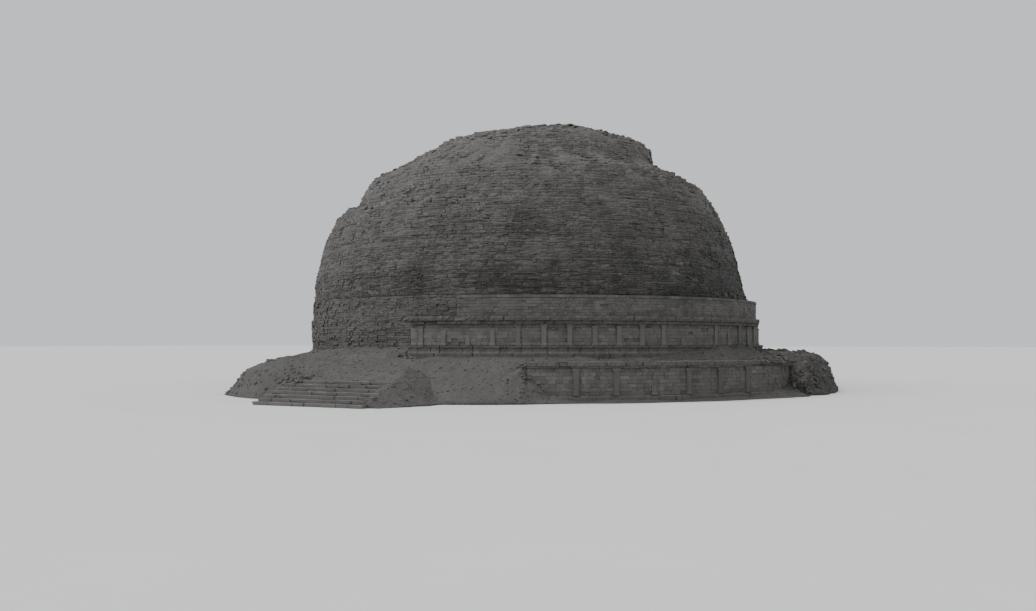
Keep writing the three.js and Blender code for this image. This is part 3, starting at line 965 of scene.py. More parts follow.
def pilaster_points(width, height, capital, spread, depth):
    """Half outline of a dwarf pilaster seen from the front: base, shaft and a bracket capital."""
    half = width / 2
    neck = height - capital
    return [
        (half + 0.05, 0, depth + 0.03), (half + 0.05, 0.08, depth + 0.03), (half + 0.03, 0.1, depth + 0.02),
        (half + 0.03, 0.14, depth + 0.02), (half, 0.18, depth), (half, 0.55 * neck, depth - 0.005),
        (half, neck - 0.03, depth),
        (half + 0.015, neck - 0.03, depth + 0.01), (half + 0.015, neck + 0.02, depth + 0.01),
        (half + 0.5 * spread, neck + 0.09, depth + 0.02), (half + spread, neck + 0.13, depth + 0.04),
        (half + spread, height, depth + 0.04),
    ]


def pilaster_shape(name, size, loss, seed):
    """A pilaster one metre to a unit, standing at the origin with its back at y = 0. loss breaks its top."""
    draw = random.Random(seed)
    height = size[1]
    profile = pilaster_points(*size)
    if loss:
        profile = [p for p in profile if p[1] < height * (1 - loss)]
        last = profile[-1]
        profile.append((last[0] * 0.9, height * (1 - loss) + draw.uniform(-0.05, 0.05), last[2] * 0.8))
    rings = []
    for half, z, out in profile:
        chip = draw.uniform(0.0, 0.012)
        rings.append([(-half, 0, z), (half, 0, z), (half - chip, out, z), (-half + chip * 0.5, out, z)])
    mesh = mesh_from(name, *lofted(rings)[:2])
    face_outwards(mesh)
    return bpy.data.objects.new(name, mesh)


def pilaster_set(name, size):
    """Whole and broken pilasters of one size: width, height, capital, its spread and depth."""
    losses = enumerate(PILASTER_LOSSES)
    return shape_set(name, [pilaster_shape(f"{name}_{i}", size, loss, i) for i, loss in losses])


PILASTER_FINISH = {"roughness": 0.04, "lumps": 5}
drum_pilasters = pilaster_set("drum_pilasters", (0.34, PILASTER_TOP - MOULDING_TOP, 0.24, 0.09, 0.3))
terrace_pilasters = pilaster_set("terrace_pilasters", (0.38, 1.8, 0.26, 0.1, 0.27))


def put_pilaster(laying, azimuth, back, foot):
    """One pilaster, with its back at a radius."""
    place = outward(azimuth) * back
    place.z = foot
    tone = 0.42 + laying.draw.gauss(0, 0.1)
    laying.put(place, (1, 1, 1), (0, 0, facing(azimuth)), tone, len(PILASTER_LOSSES))


def make_drum_walls():
    """The drum's low storey of squared blocks, with a pilaster in most bays."""
    course = {"lengths": (0.38, 0.65), "depth": 0.3, "loss": 0.015}
    for i, side in enumerate(LENGTHS):
        node = "drum_wall_" + side
        laying = Laying(seed=41 + i)
        pilasters = Laying(seed=51 + i)
        start = i * LENGTH_BAYS * DRUM_BAY + 0.02
        end = (i + 1) * LENGTH_BAYS * DRUM_BAY - 0.02
        for low, high in levels(MOULDING_TOP, PILASTER_TOP, 6):
            tone = laying.draw.gauss(0, 0.08)
            dressed_course(laying, DRUM_FACE, low, high, start, end, tone=tone, **course)
        for bay in range(LENGTH_BAYS):
            if pilasters.draw.random() > 0.12:
                put_pilaster(pilasters, start + (bay + 0.5) * DRUM_BAY, DRUM_FACE - 0.2, MOULDING_TOP)
        # The storey's blocks and pilasters take the paler ashlar, a painted light against the cornice's shadow
        piece = laying.build(node + "_blocks", dressed_blocks, painted_light_ashlar, roughness=0.014)
        keep(piece, "dressed_stone", node)
        piece = pilasters.build("drum_pilasters_" + side, drum_pilasters, painted_light_ashlar, **PILASTER_FINISH)
        keep(piece, "dressed_stone")
        back = DRUM_FACE - BED_SET_BACK
        wall_bed(node + "_bed", DRUM_CORE + 0.01, back, MOULDING_TOP, PILASTER_TOP, start, end)


# Mouldings: stones that share one profile and follow the arc


def moulding_stone(profile, start, end, shift, wear, draw):
    """Rings of one moulding stone between two azimuths. On three stones in ten one end is chipped."""
    stations = np.radians(np.linspace(start, end, 5))
    outer = max(r for r, _ in profile)
    inner = min(r for r, _ in profile)
    chip = draw.uniform(0, 1)
    rings = []
    for s, station in enumerate(stations):
        ring = []
        for radius, height in profile:
            share = (radius - inner) / (outer - inner)
            lost = 0.0
            if chip < 0.3 and s == (0 if chip < 0.15 else 4):
                lost = draw.uniform(0.03, 0.12) * share
            r = radius + share * (shift + draw.gauss(0, wear)) - lost
            level = height + draw.gauss(0, wear / 2)
            ring.append((r * math.sin(station), -r * math.cos(station), level))
        rings.append(ring)
    return rings


def joined_stones(name, stones, finish):
    """Stones given as points and faces, joined as one piece with a tone on each."""
    points, faces, tones = [], [], []
    for stone_points, stone_faces, tone in stones:
        first = len(points)
        points += stone_points
        faces += [tuple(first + i for i in f) for f in stone_faces]
        tones += [tone] * len(stone_points)
    mesh = mesh_from(name, np.array(points) * SCALE, faces)
    attribute = mesh.attributes.new("tone", "FLOAT", "POINT")
    attribute.data.foreach_set("value", np.array(tones, np.float32))
    face_outwards(mesh)
    mesh.materials.append(finish)
    return bpy.data.objects.new(name, mesh)


def moulding_run(profile, start, end, lengths, seed, loss, wear=0.006, broken=(0, 0), tone=0.5):
    """Moulding stones from one azimuth to another. Between the two of broken, all have lost their edge."""
    draw = random.Random(seed)
    outer = max(r for r, _ in profile)
    inner = min(r for r, _ in profile)
    stones = []
    for first, last in split_length(draw, math.radians(end - start) * outer, *lengths):
        a = start + math.degrees((first + JOINT) / outer)
        b = start + math.degrees((last - JOINT) / outer)
        ruin = 2.5 if cloud(a, profile[0][1], 0.4, 8) > 0.2 else 0.5
        shape = profile
        if draw.random() < loss * ruin or broken[0] < a < broken[1]:
            edge = outer - (outer - inner) * draw.uniform(0.06, 0.25)
            if broken[0] < a < broken[1]:
                edge = outer - (outer - inner) * draw.uniform(0.36, 0.55)
            shape = [(min(r, edge + draw.gauss(0, 0.02)), z) for r, z in profile]
        rings = moulding_stone(shape, a, b, draw.gauss(0, 0.012), wear, draw)
        stones.append(lofted(rings, clamped(tone + draw.gauss(0, 0.14))))
    return stones


def make_drum_mouldings():
    """Plinth and slope at the drum's foot, and the cornice's bed and crown."""
    core = DRUM_CORE + 0.02
    plinth = [(core, 2.7), (20.0, 2.7), (20.0, 3.18), (19.97, 3.2), (core, 3.2)]
    slope = [(core, 3.2), (19.96, 3.2), (19.88, 3.34), (19.87, 3.55)]
    slope += [(19.92, 3.6), (19.92, 3.74), (core, 3.74)]
    bed = [(core, 5.27), (19.76, 5.27), (19.78, 5.4), (19.8, 5.46), (core, 5.46)]
    crown = [(core, 5.47), (19.82, 5.47), (19.88, 5.54), (19.9, 5.7), (19.88, 5.84), (core, 5.84)]
    for i, side in enumerate(LENGTHS):
        start = i * LENGTH_BAYS * DRUM_BAY + 0.03
        end = (i + 1) * LENGTH_BAYS * DRUM_BAY - 0.03
        stones = moulding_run(plinth, start, end, (0.8, 1.2), seed=61 + i, loss=0.02, wear=0.012)
        stones += moulding_run(slope, start, end, (0.7, 1.1), seed=65 + i, loss=0.0, wear=0.012)
        piece = joined_stones(f"drum_base_moulding_{side}_stones", stones, carved_stone)
        keep(piece, "dressed_stone", "drum_base_moulding_" + side)
        stones = moulding_run(
            bed, start, end, (0.6, 1.0), seed=71 + i, loss=0.1, wear=0.012, broken=WORN_CORNICE,
        )
        stones += moulding_run(
            crown, start, end, (0.7, 1.1), seed=75 + i, loss=0.25, wear=0.018, broken=WORN_CORNICE, tone=0.35,
        )
        piece = joined_stones(f"drum_cornice_{side}_stones", stones, carved_stone)
        keep(piece, "dressed_stone", "drum_cornice_" + side)


# Terrace


def core_section(surface, azimuth):
    """The terrace's own mass at an azimuth, from the foot up and then inwards."""
    def side(height):
        return min(TERRACE_CORE, surface.radius(azimuth, height))

    within = 18.0  # under the drum
    section = [(within, 0.0), (side(0.02), 0.0)] + [(side(z), z) for z in (0.5, 1.0, 1.4)]
    if in_worn_edge(azimuth):
        start, crest, fall, _ = edge_row(WORN_EDGE, azimuth)
        for radius in (23.6, 23.2, 22.8, 22.4, 22.0, 21.7):
            section.append((radius, crest - fall * max(0.0, radius - start) - 0.14))
    else:
        section += [(side(z), z) for z in (1.66, 1.9, 2.15, 2.4, 2.55)]
        section.append((side(2.68), TERRACE_TOP))
    inner = min(21.4, section[-1][0] - 0.05)
    return section + [(inner, TERRACE_TOP), (within, TERRACE_TOP)]


def lofted_all_round(rings):
    """Points, faces and tone of a body that goes all the way round.

    Flat caps on its rings' first and last points fill it to the axis.
    """
    n = len(rings[0])
    total = n * len(rings)
    faces = []
    for first in range(0, total, n):
        following = (first + n) % total
        for j in range(n - 1):
            faces.append((first + j, first + j + 1, following + j + 1, following + j))
    faces.append(tuple(range(0, total, n)))
    faces.append(tuple(range(n - 1, total, n)))
    return [tuple(p) for ring in rings for p in ring], faces, 0.5


def make_terrace_mass():
    """The terrace's own mass under its paving."""
    surface = Surface("terrace_core")
    edges = {25.95, 26.1, 349.45, 349.55}  # close on both sides of where the section changes
    azimuths = sorted((set(range(360)) - {26}) | edges)
    rings = [section_at(a, core_section(surface, a)) for a in azimuths]
    mass = joined_stones("terrace_mass", [lofted_all_round(rings)], dusty_paving)
    keep(mass, "terrace_paving", "terrace_core")


def make_edge_debris(name, table, inner, within, seed, density):
    """Debris over the terrace edge where its coping is lost.

    inner is the radius where it starts, and within the place inside the terrace where it closes.
    """
    rings = []
    for azimuth in np.arange(table[0][0], table[-1][0] + 0.1, 0.5):
        start, crest, fall, reach = edge_row(table, azimuth)
        section = [(inner, crest - 0.35), (inner, crest - 0.05)]
        for radius in np.linspace(inner + 0.4, reach, 12):
            lump = lumpy(outward(azimuth) * radius, 11.0) - 0.1
            section.append((radius, crest - fall * max(0.0, radius - start) + 0.13 * lump))
        section += [(reach - 0.02, section[-1][1] - 0.5), within]
        rings.append(section_at(azimuth, section))
    keep_bank(name, rings, earth, fallen_stone, seed, density)


def make_terrace_walls():
    """Plinth, faced wall with pilasters, fillet and coping slabs between the flights."""
    core = TERRACE_CORE + 0.01
    back = TERRACE_FACE - BED_SET_BACK
    plinth = [(core, 0.0)] + PLINTH + [(core, TERRACE_PLINTH_TOP)]
    fillet = [(core, 2.29), (24.13, 2.29), (24.13, 2.4), (core, 2.4)]
    slab = [(core, 2.41), (24.2, 2.41), (24.22, 2.44), (24.22, 2.66), (24.19, 2.7), (core, 2.7)]
    course = {"lengths": (0.38, 0.65), "depth": 0.3, "loss": 0.03}
    for i, (side, start) in enumerate(QUADRANTS.items()):
        node = "terrace_wall_" + side
        laying = Laying(seed=81 + i)
        pilasters = Laying(seed=91 + i)
        first = start + FLIGHT_HALF_ANGLE + 0.05
        last = start + 90 - FLIGHT_HALF_ANGLE - 0.05
        faced = last
        ledge = TERRACE_LEDGE
        broken = (0, 0)
        standing = beds = coped = [(first, last)]
        if side == "southeast":
            faced = BARE_WALL[0]
            ledge = BROKEN_LEDGE
            broken = BROKEN_COPING
            standing = [(WALL_AT_BREAK[1], faced)]
            beds = coped = [(WALL_AT_BREAK[1], last)]
        elif side == "southwest":
            standing = beds = [(first, LOW_EDGE[0]), (LOW_EDGE[1], 360 + WALL_AT_BREAK[0])]
            coped = [(first, LOW_COPING[0]), (LOW_EDGE[1], LOW_COPING[1])]
        for low, high in levels(TERRACE_PLINTH_TOP, TERRACE_WALL_TOP, 7):
            tone = laying.draw.gauss(0, 0.08)
            for a, b in [(first, faced)] if high < ledge + 0.05 else standing:
                ragged = b - (abs(laying.draw.gauss(0, 1.3)) if b == BARE_WALL[0] else 0)
                dressed_course(laying, TERRACE_FACE, low, high, a, ragged, tone=tone, **course)
        for k in range(-PILASTERS_EACH_SIDE, PILASTERS_EACH_SIDE + 1):
            centre = start + MIDDLE_PILASTER + k * TERRACE_BAY
            if any(a < centre < b for a, b in standing) and pilasters.draw.random() > 0.15:
                put_pilaster(pilasters, centre, TERRACE_FACE - 0.17, TERRACE_PLINTH_TOP)
        piece = laying.build(node + "_blocks", dressed_blocks, ashlar_stone, roughness=0.018)
        keep(piece, "dressed_stone", node)
        name = "terrace_pilasters_" + side
        piece = pilasters.build(name, terrace_pilasters, carved_stone, **PILASTER_FINISH)
        keep(piece, "dressed_stone")
        wall_bed(node + "_bed", core, back, 0.05, ledge, first, last)
        for k, (a, b) in enumerate(beds):
            wall_bed(f"{node}_upper_bed_{k}", core, back, ledge + 0.01, TERRACE_WALL_TOP, a, b)
        stones = moulding_run(plinth, first, last, (0.7, 1.1), seed=101 + i, loss=0.1)
        keep(joined_stones("terrace_plinth_" + side, stones, carved_stone), "dressed_stone")
        stones = []
        for a, b in coped:
            stones += moulding_run(
                fillet, a, b, (0.6, 1.0), seed=111 + i, loss=0.2, wear=0.012, broken=broken, tone=0.4,
            )
            stones += moulding_run(
                slab, a, b, (0.6, 1.2), seed=121 + i, loss=0.3, wear=0.016, broken=broken, tone=0.25,
            )
        piece = joined_stones(f"terrace_coping_{side}_slabs", stones, carved_stone)
        keep(piece, "dressed_stone", "terrace_coping_" + side)


def make_bare_terrace_wall():
    """The rough inside of the terrace wall beside the east heap, where its facing is lost."""
    surface = Surface("terrace_core")
    laying = Laying(seed=98)
    draw = laying.draw
    for low, rise in rough_rises(draw, TERRACE_PLINTH_TOP, TERRACE_WALL_TOP):
        arc = (BARE_WALL[0] - abs(draw.gauss(0, 0.8)), BARE_WALL[1])
        rough_course(
            laying, surface, low, rise, arc, BARE_LENGTHS, bed=0.3, losses=0.05, upright=True, proud=0.38,
        )
    piece = laying.build("terrace_bare_wall_stones", split_stones, bare_stone, roughness=0.07)
    keep(piece, "core_rubble")


def make_paving():
    """Slabs on the terrace, in rings round the drum, many of them lost under dust."""
    laying = Laying(seed=131)
    draw = laying.draw
    edge = 23.58
    radius = 20.1
    while radius < 23.4:
        depth = min(draw.uniform(0.5, 0.7), edge - radius)
        azimuth = draw.uniform(0, 1)
        while azimuth < 359.5:
            length = draw.uniform(0.5, 1.0)
            turn = math.degrees(length / radius)
            centre = azimuth + turn / 2
            azimuth += turn
            if in_break(centre) and radius > 20.6 or in_worn_edge(centre) and radius > 21.0:
                continue
            if cloud(centre, radius, 0.35, 9) + 0.5 * draw.random() > 0.32:
                continue
            place = outward(centre) * (radius + depth / 2)
            place.z = TERRACE_TOP - 0.04 + draw.uniform(-0.03, 0.015)
            size = (length - 0.03, 0.1, depth - 0.03)
            turned = (math.pi / 2 + draw.gauss(0, 0.012), draw.gauss(0, 0.012), facing(centre))
            laying.put(place, size, turned, 0.5 + draw.gauss(0, 0.2), BLOCK_KINDS)
        radius += depth
    piece = laying.build("terrace_paving_slabs", dressed_blocks, slab_stone, roughness=0.02)
    keep(piece, "terrace_paving")


# Flights of steps


def flight_place(azimuth, radius, across, height):
    """A place on a flight: out from the axis, across it, and up."""
    a = math.radians(azimuth)
    return Vector((
        radius * math.sin(a) + across * math.cos(a),
        -radius * math.cos(a) + across * math.sin(a),
        height,
    ))


def make_flight(side, azimuth, standing, seed):
    """Treads of long slabs over cheeks of squared blocks, with a bed of rubble inside."""
    laying = Laying(seed)
    draw = laying.draw
    turn = facing(azimuth)
    half = FLIGHT_WIDTH / 2
    for step in range(standing):
        nose = FLIGHT_FOOT - step * GOING
        low = step * RISER
        last = step == standing - 1
        back = TERRACE_CORE + 0.02 if last and standing == STEPS else nose - GOING - 0.25
        for first, end in split_length(draw, FLIGHT_WIDTH, 0.7, 1.25):
            across = (first + end) / 2 - half
            chance = 0.06 if abs(across) / half > 0.85 and step > 1 else 0.0
            if draw.random() < chance:
                continue
            front = nose - abs(draw.gauss(0, 0.05))
            level = low + RISER / 2 + draw.gauss(0, 0.004)
            place = flight_place(azimuth, (front + back) / 2, across, level)
            size = (end - first + 0.006, front - back, RISER - 0.004)
            tilt = (draw.gauss(0, 0.008), draw.gauss(0, 0.006), turn + draw.gauss(0, 0.01))
            laying.put(place, size, tilt, 0.5 + draw.gauss(0, 0.12), BLOCK_KINDS)
        inner = TERRACE_CORE + 0.05
        outer = nose - GOING - 0.1
        if outer - inner < 0.3:
            continue
        for sign in (-1, 1):
            for first, end in split_length(draw, outer - inner, 0.5, 0.8):
                radius = inner + (first + end) / 2
                across = sign * (half - 0.16 + draw.gauss(0, 0.006))
                place = flight_place(azimuth, radius, across, low + RISER / 2)
                size = (end - first - JOINT, 0.32, RISER - JOINT)
                if standing == STEPS or draw.random() > 0.05:
                    cheek = turn + sign * math.pi / 2 + draw.gauss(0, 0.012)
                    laying.put(place, size, (0, 0, cheek), 0.5 + draw.gauss(0, 0.14), BLOCK_KINDS)
    top = standing * RISER
    outline = [(TERRACE_CORE, 0), (FLIGHT_FOOT - 0.3, 0), (FLIGHT_FOOT - 0.55, 0.1)]
    if standing < STEPS:
        head = FLIGHT_FOOT - (standing - 1) * GOING
        outline += [(head - 0.5, top - RISER - 0.02), (head - 0.7, top - 0.03), (TERRACE_CORE, top - 0.03)]
    else:
        outline += [(FLIGHT_HEAD - 0.2, top - 0.25), (TERRACE_CORE, top - 0.25)]
    reach = half - 0.2
    rings = [[flight_place(azimuth, r, across, z) for r, z in outline] for across in (-reach, reach)]
    node = "steps_" + side
    piece = laying.build(node + "_blocks", dressed_blocks, tread_stone, roughness=0.03)
    keep(piece, "step_stone", node)
    keep(joined_stones(node + "_bed", [lofted(rings)], rubble_bed), "step_stone")


# Debris


# Where masses have sunk: from which height, how much higher all the way, and by azimuth how far
SAGS = {
    "southwest_rubble_slope": (1.8, 1.2, (-36, -30, -27, -24, -21, -15), (0.25, 0.3, 0.4, 0.38, 0.22, 0)),
    "terrace_debris_southwest": (2.7, 0.7, (-85, -60, -40, -20), (0.2, 0.3, 0.28, 0)),
    "east_rubble_heap": (2.6, 0.8, (80, 88, 100, 112), (0, 0.25, 0.25, 0)),
}


def uneven_mass(node, cell, lump, sink, finish, seed):
    """A finer, lumpy copy of a bank or heap that stands for its solid.

    cell is the size of its faces, lump its unevenness, and sink how far its foot goes down.
    """
    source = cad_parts[node].data.copy()
    shape = bmesh.new()
    shape.from_mesh(source)
    bmesh.ops.remove_doubles(shape, verts=shape.verts, dist=0.0005)
    shape.to_mesh(source)
    shape.free()
    floor = min(v.co.z for v in source.vertices)
    base = bpy.data.objects.new(node + "_source", source)
    bpy.context.scene.collection.objects.link(base)
    remesh = base.modifiers.new("even", "REMESH")
    remesh.mode = "VOXEL"
    remesh.voxel_size = cell * SCALE
    mesh = mesh_of(base)
    mesh.name = node + "_mass"
    for v in mesh.vertices:
        place = v.co / SCALE
        azimuth = azimuth_of(place)
        way = outward(azimuth)
        rising = noise.noise(place * 0.8 + Vector((seed, 0, 0))) + 0.55 * noise.noise(place * 2.1)
        rising += 0.35 * noise.noise(place * 5.0)
        above = clamped((v.co.z - floor) / (0.3 * SCALE))
        v.co.z = max(floor - 0.02 * SCALE, v.co.z + lump * SCALE * (rising - 0.4) * above)
        v.co += way * 0.6 * lump * SCALE * noise.noise(place * 1.3 + Vector((0, seed, 0)))
        if node in SAGS:
            start, height, azimuths, depths = SAGS[node]
            share = clamped((v.co.z / SCALE - start) / height)
            v.co.z -= share * np.interp(azimuth, azimuths, depths) * SCALE
        v.co.z -= sink * SCALE * clamped(1.5 * (1 - (place.z - floor / SCALE) / 0.35))
        if node.startswith("terrace_debris"):
            v.co -= way * 0.3 * SCALE * clamped((20.65 - math.hypot(place.x, place.y)) / 0.4)
    mesh.materials.clear()
    mesh.materials.append(finish)
    return keep(bpy.data.objects.new(node + "_mass", mesh), "fallen_debris", node, smooth=True)


def drawn(t, kind, lowest, highest, seed):
    """A random value for every point or instance."""
    place = ("FLOAT_VECTOR", "FLOAT", "INT").index(kind)
    sockets = {2 * place: lowest, 2 * place + 1: highest, "Seed": seed}
    return t.node("FunctionNodeRandomValue", {"data_type": kind}, sockets).outputs[place]


def scatter_tree():
    """Scatters turned stones over a surface, more sunk than standing out."""
    tree = geometry_tree("scatter_stones", [
        ("Ground", "NodeSocketGeometry"), ("Stones", "NodeSocketCollection"), ("Density", "NodeSocketFloat"),
        ("Smallest", "NodeSocketFloat"), ("Largest", "NodeSocketFloat"), ("Seed", "NodeSocketInt"),
        ("Finish", "NodeSocketMaterial"),
    ])
    t = Tree(tree)
    given = t.node("NodeGroupInput").outputs
    seed = given["Seed"]
    sockets = {"Mesh": given["Ground"], "Density": given["Density"], "Seed": seed}
    spread = t.node("GeometryNodeDistributePointsOnFaces", {"distribute_method": "RANDOM"}, sockets)
    share = Value(t, drawn(t, "FLOAT", 0.0, 1.0, seed)) ** 4.0
    smallest = Value(t, given["Smallest"])
    size = smallest + share * (Value(t, given["Largest"]) - smallest)
    shape = drawn(t, "FLOAT_VECTOR", (0.75, 0.6, 0.35), (1.4, 1.0, 0.65), seed)
    angles = drawn(t, "FLOAT_VECTOR", (-0.4, -0.4, 0.0), (0.4, 0.4, 6.283), seed)
    kind = drawn(t, "INT", 0, BOULDER_KINDS - 1, seed)
    drop = t.node("ShaderNodeCombineXYZ", None, {"Z": size * -0.1}).outputs[0]
    sunk = moved(t, spread.outputs["Points"], drop)
    laid = set_on_points(t, sunk, given["Stones"], kind, angles, scaled(t, shape, size))
    toned = t.node(
        "GeometryNodeStoreNamedAttribute", {"data_type": "FLOAT", "domain": "INSTANCE"},
        {"Geometry": laid, "Name": "tone", "Value": drawn(t, "FLOAT", 0.35, 0.75, seed)},
    ).outputs[0]
    joined = t.node("GeometryNodeRealizeInstances", None, {0: toned}).outputs[0]
    end_tree(t, joined, given["Finish"])
    return tree


SCATTER_STONES = scatter_tree()


def scattered(name, ground, density, smallest, largest, seed, finish):
    """Stones over a ground. density is stones on a real square metre."""
    return plain_result(name, ground, SCATTER_STONES, {
        "Stones": boulders, "Density": density / SCALE**2, "Smallest": smallest * SCALE,
        "Largest": largest * SCALE, "Seed": seed, "Finish": finish,
    })


def scatter(mass, name, density, smallest, largest, seed, finish):
    """Stones over the faces of one mass that look up or out."""
    copy = mass.data.copy()
    shape = bmesh.new()
    shape.from_mesh(copy)
    down = [f for f in shape.faces if f.normal.z < -0.2]
    bmesh.ops.delete(shape, geom=down, context="FACES")
    shape.to_mesh(copy)
    shape.free()
    ground = bpy.data.objects.new(name + "_ground", copy)
    keep(scattered(name, ground, density, smallest, largest, seed, finish), "fallen_debris")


def mound(azimuth, radius, foot, size, fall, seed):
    """The earth inside a pile, through rings that get smaller and higher."""
    around, out, height = size
    sides = 14
    rings = []
    for share in (1.0, 0.8, 0.6, 0.4, 0.2):
        ring = []
        for j in range(sides):
            way = 2 * math.pi * j / sides
            reach = share * (0.85 + 0.2 * noise.noise(Vector((2 * math.cos(way), 2 * math.sin(way), seed))))
            across = around * reach * math.cos(way)
            r = radius + out * reach * math.sin(way)
            place = outward(azimuth + math.degrees(across / radius)) * r
            place.z = foot + 0.85 * height * (1 - share) ** 1.2 + (0.05 * height if share < 1 else -0.25)
            place.z += fall * (radius - r)
            ring.append(place)
        rings.append(ring)
    return lofted(rings)


def put_pile(laying, mounds, azimuth, radius, foot, size, count, largest, fall=0.0):
    """A pile of fallen stones. size is its reach along the arc, its reach out from the axis and its height.

    fall is the slope of what it lies on, down and away from the axis.
    """
    draw = laying.draw
    around, out, height = size
    smallest = 0.1
    mounds.append(mound(azimuth, radius, foot, size, fall, laying.seed + len(mounds)))
    for _ in range(count):
        way = draw.uniform(0, 2 * math.pi)
        share = draw.random() ** 0.5
        level = height * (1 - share) ** 1.2
        across = around * share * math.cos(way)
        r = radius + out * share * math.sin(way)
        place = outward(azimuth + math.degrees(across / radius)) * r
        stone = smallest + (largest - smallest) * draw.random() ** 3
        place.z = foot + level * draw.uniform(0.85, 1.0) + 0.12 * stone + fall * (radius - r)
        block = [stone * draw.uniform(*part) for part in ((0.9, 1.5), (0.7, 1.1), (0.5, 0.9))]
        turned = (draw.gauss(0, 0.3), draw.gauss(0, 0.3), draw.uniform(0, 2 * math.pi))
        laying.put(place, block, turned, 0.5 + draw.gauss(0, 0.16), BOULDER_KINDS)


# Rows of azimuth, radius, foot, size, number of stones, the largest one and the slope of what they lie on
PITCH = RISER / GOING
EDGE_PILES = (
    (25.7, 23.75, 1.6, (0.6, 0.4, 0.8), 90, 0.35, 0),
    (26.2, 22.8, 2.3, (0.8, 1.2, 0.55), 130, 0.35, 0),
    (0.5, 20.5, 2.7, (1.5, 0.7, 0.35), 90, 0.35, 0),
    (-8.2, 27.6, 1.2, (1.0, 1.6, 0.45), 130, 0.35, PITCH),
    (4.0, 28.3, 0.95, (0.7, 0.5, 0.2), 40, 0.2, PITCH),
    (-3.5, 28.9, 0.75, (0.9, 0.6, 0.2), 50, 0.2, PITCH),
    (-6.5, 30.2, 0.3, (0.8, 0.7, 0.25), 60, 0.3, PITCH),
    (173.5, 26.0, 1.76, (0.9, 1.4, 0.3), 70, 0.3, PITCH),
    (186.5, 29.0, 0.72, (0.7, 1.2, 0.25), 60, 0.3, PITCH),
    (264.5, 27.0, 1.41, (0.8, 1.5, 0.3), 70, 0.3, PITCH),
    (276.5, 25.0, 2.1, (0.8, 1.0, 0.3), 60, 0.3, PITCH),
)
HEAP_END_PILES = (
    (77.5, 23.6, 2.5, (2.0, 0.9, 0.6), 200, 0.4, 0),
    (72.5, 23.5, 2.55, (1.6, 0.7, 0.35), 110, 0.35, 0),
    (81.0, 24.4, 0.9, (0.8, 0.7, 1.2), 120, 0.4, 0),
)


def make_piles():
    """Piles at the ends of the broken edge, on the flights and where the east heap meets the wall."""
    lots = (
        ("edge_piles", earth, fallen_stone, 171, EDGE_PILES),
        ("heap_end_piles", dark_earth, dark_fallen_stone, 172, HEAP_END_PILES),
    )
    for name, ground, finish, seed, piles in lots:
        laying = Laying(seed)
        mounds = []
        for pile in piles:
            put_pile(laying, mounds, *pile)
        keep(laying.build(name, boulders, finish, roughness=0.03), "fallen_debris")
        keep(joined_stones(name + "_earth", mounds, ground), "fallen_debris", smooth=True)


def keep_bank(name, rings, ground, stones, seed, density=16.0):
    """A body of earth through rings, with stones over it."""
    body = joined_stones(name, [lofted(rings)], ground)
    keep(body, "fallen_debris", smooth=True)
    scatter(body, name + "_stones", density, smallest=0.06, largest=0.26, seed=seed, finish=stones)


def make_bank(name, arc, wall, foot, sections, ground, stones, seed, density=16.0):
    """A low bank of earth and stones against a round wall. sections holds (azimuth, height, reach).

    wall is the wall's radius and foot the height that the bank lies on.
    """
    azimuths, heights, reaches = zip(*sections)
    rings = []
    for azimuth in np.arange(arc[0], arc[1] + 0.4, 0.4):
        uneven = 1 + 0.45 * cloud(azimuth, seed, 0.5) + 0.25 * cloud(azimuth, seed, 1.6)
        height = max(0.02, np.interp(azimuth, azimuths, heights) * uneven)
        reach = np.interp(azimuth, azimuths, reaches) * (0.6 + 0.4 * uneven)
        section = [(wall - 0.1, foot), (wall - 0.1, foot + height)]
        for share in (0.06, 0.14, 0.23, 0.33, 0.44, 0.56, 0.69, 0.83):
            radius = wall + share * reach
            lump = 0.2 * height * lumpy(outward(azimuth) * radius, seed)
            section.append((radius, foot + max(0.01, height * (1 - share) ** 1.4 + lump)))
        rings.append(section_at(azimuth, section + [(wall + reach, foot)]))
    keep_bank(name, rings, ground, stones, seed, density)


def make_cheek_bank():
    """Debris that came down over the east side of the south flight and hides its cheek."""
    half = FLIGHT_WIDTH / 2
    rings = []
    for radius in np.arange(23.9, 30.6, 0.22):
        tread = min(STANDING_STEPS * RISER, (FLIGHT_FOOT - radius) * RISER / GOING)
        high = tread + 0.12 + 0.12 * lumpy(Vector((half, -radius, 0)), 5.0)
        reach = 0.5 + 1.15 * tread * (1 + 0.2 * lumpy(Vector((9.0, -radius, 0)), 7.0))
        inside = 0.55 + 0.35 * tread + 0.35 * lumpy(Vector((2.0, -radius, 0)), 9.0)
        section = [
            (-inside, tread - 0.35), (-inside, tread - 0.05),
            (-0.6 * inside, high - 0.02), (-0.25 * inside, high),
            (0.1 * reach, 0.86 * high), (0.3 * reach, 0.64 * high), (0.5 * reach, 0.42 * high),
            (0.7 * reach, 0.22 * high), (0.87 * reach, 0.08 * high), (reach, 0.0), (-0.3, 0.0),
        ]
        ring = []
        for across, height in section:
            place = flight_place(0, radius, half + across, height)
            if 0.05 < height < tread + 0.3 and across > -0.9 * inside:
                place.z += 0.1 * lumpy(place, 3.0)
                place.x += 0.08 * lumpy(place, 4.0)
            ring.append(place)
        rings.append(ring)
    keep_bank("cheek_bank", rings, earth, fallen_stone, seed=188, density=26.0)


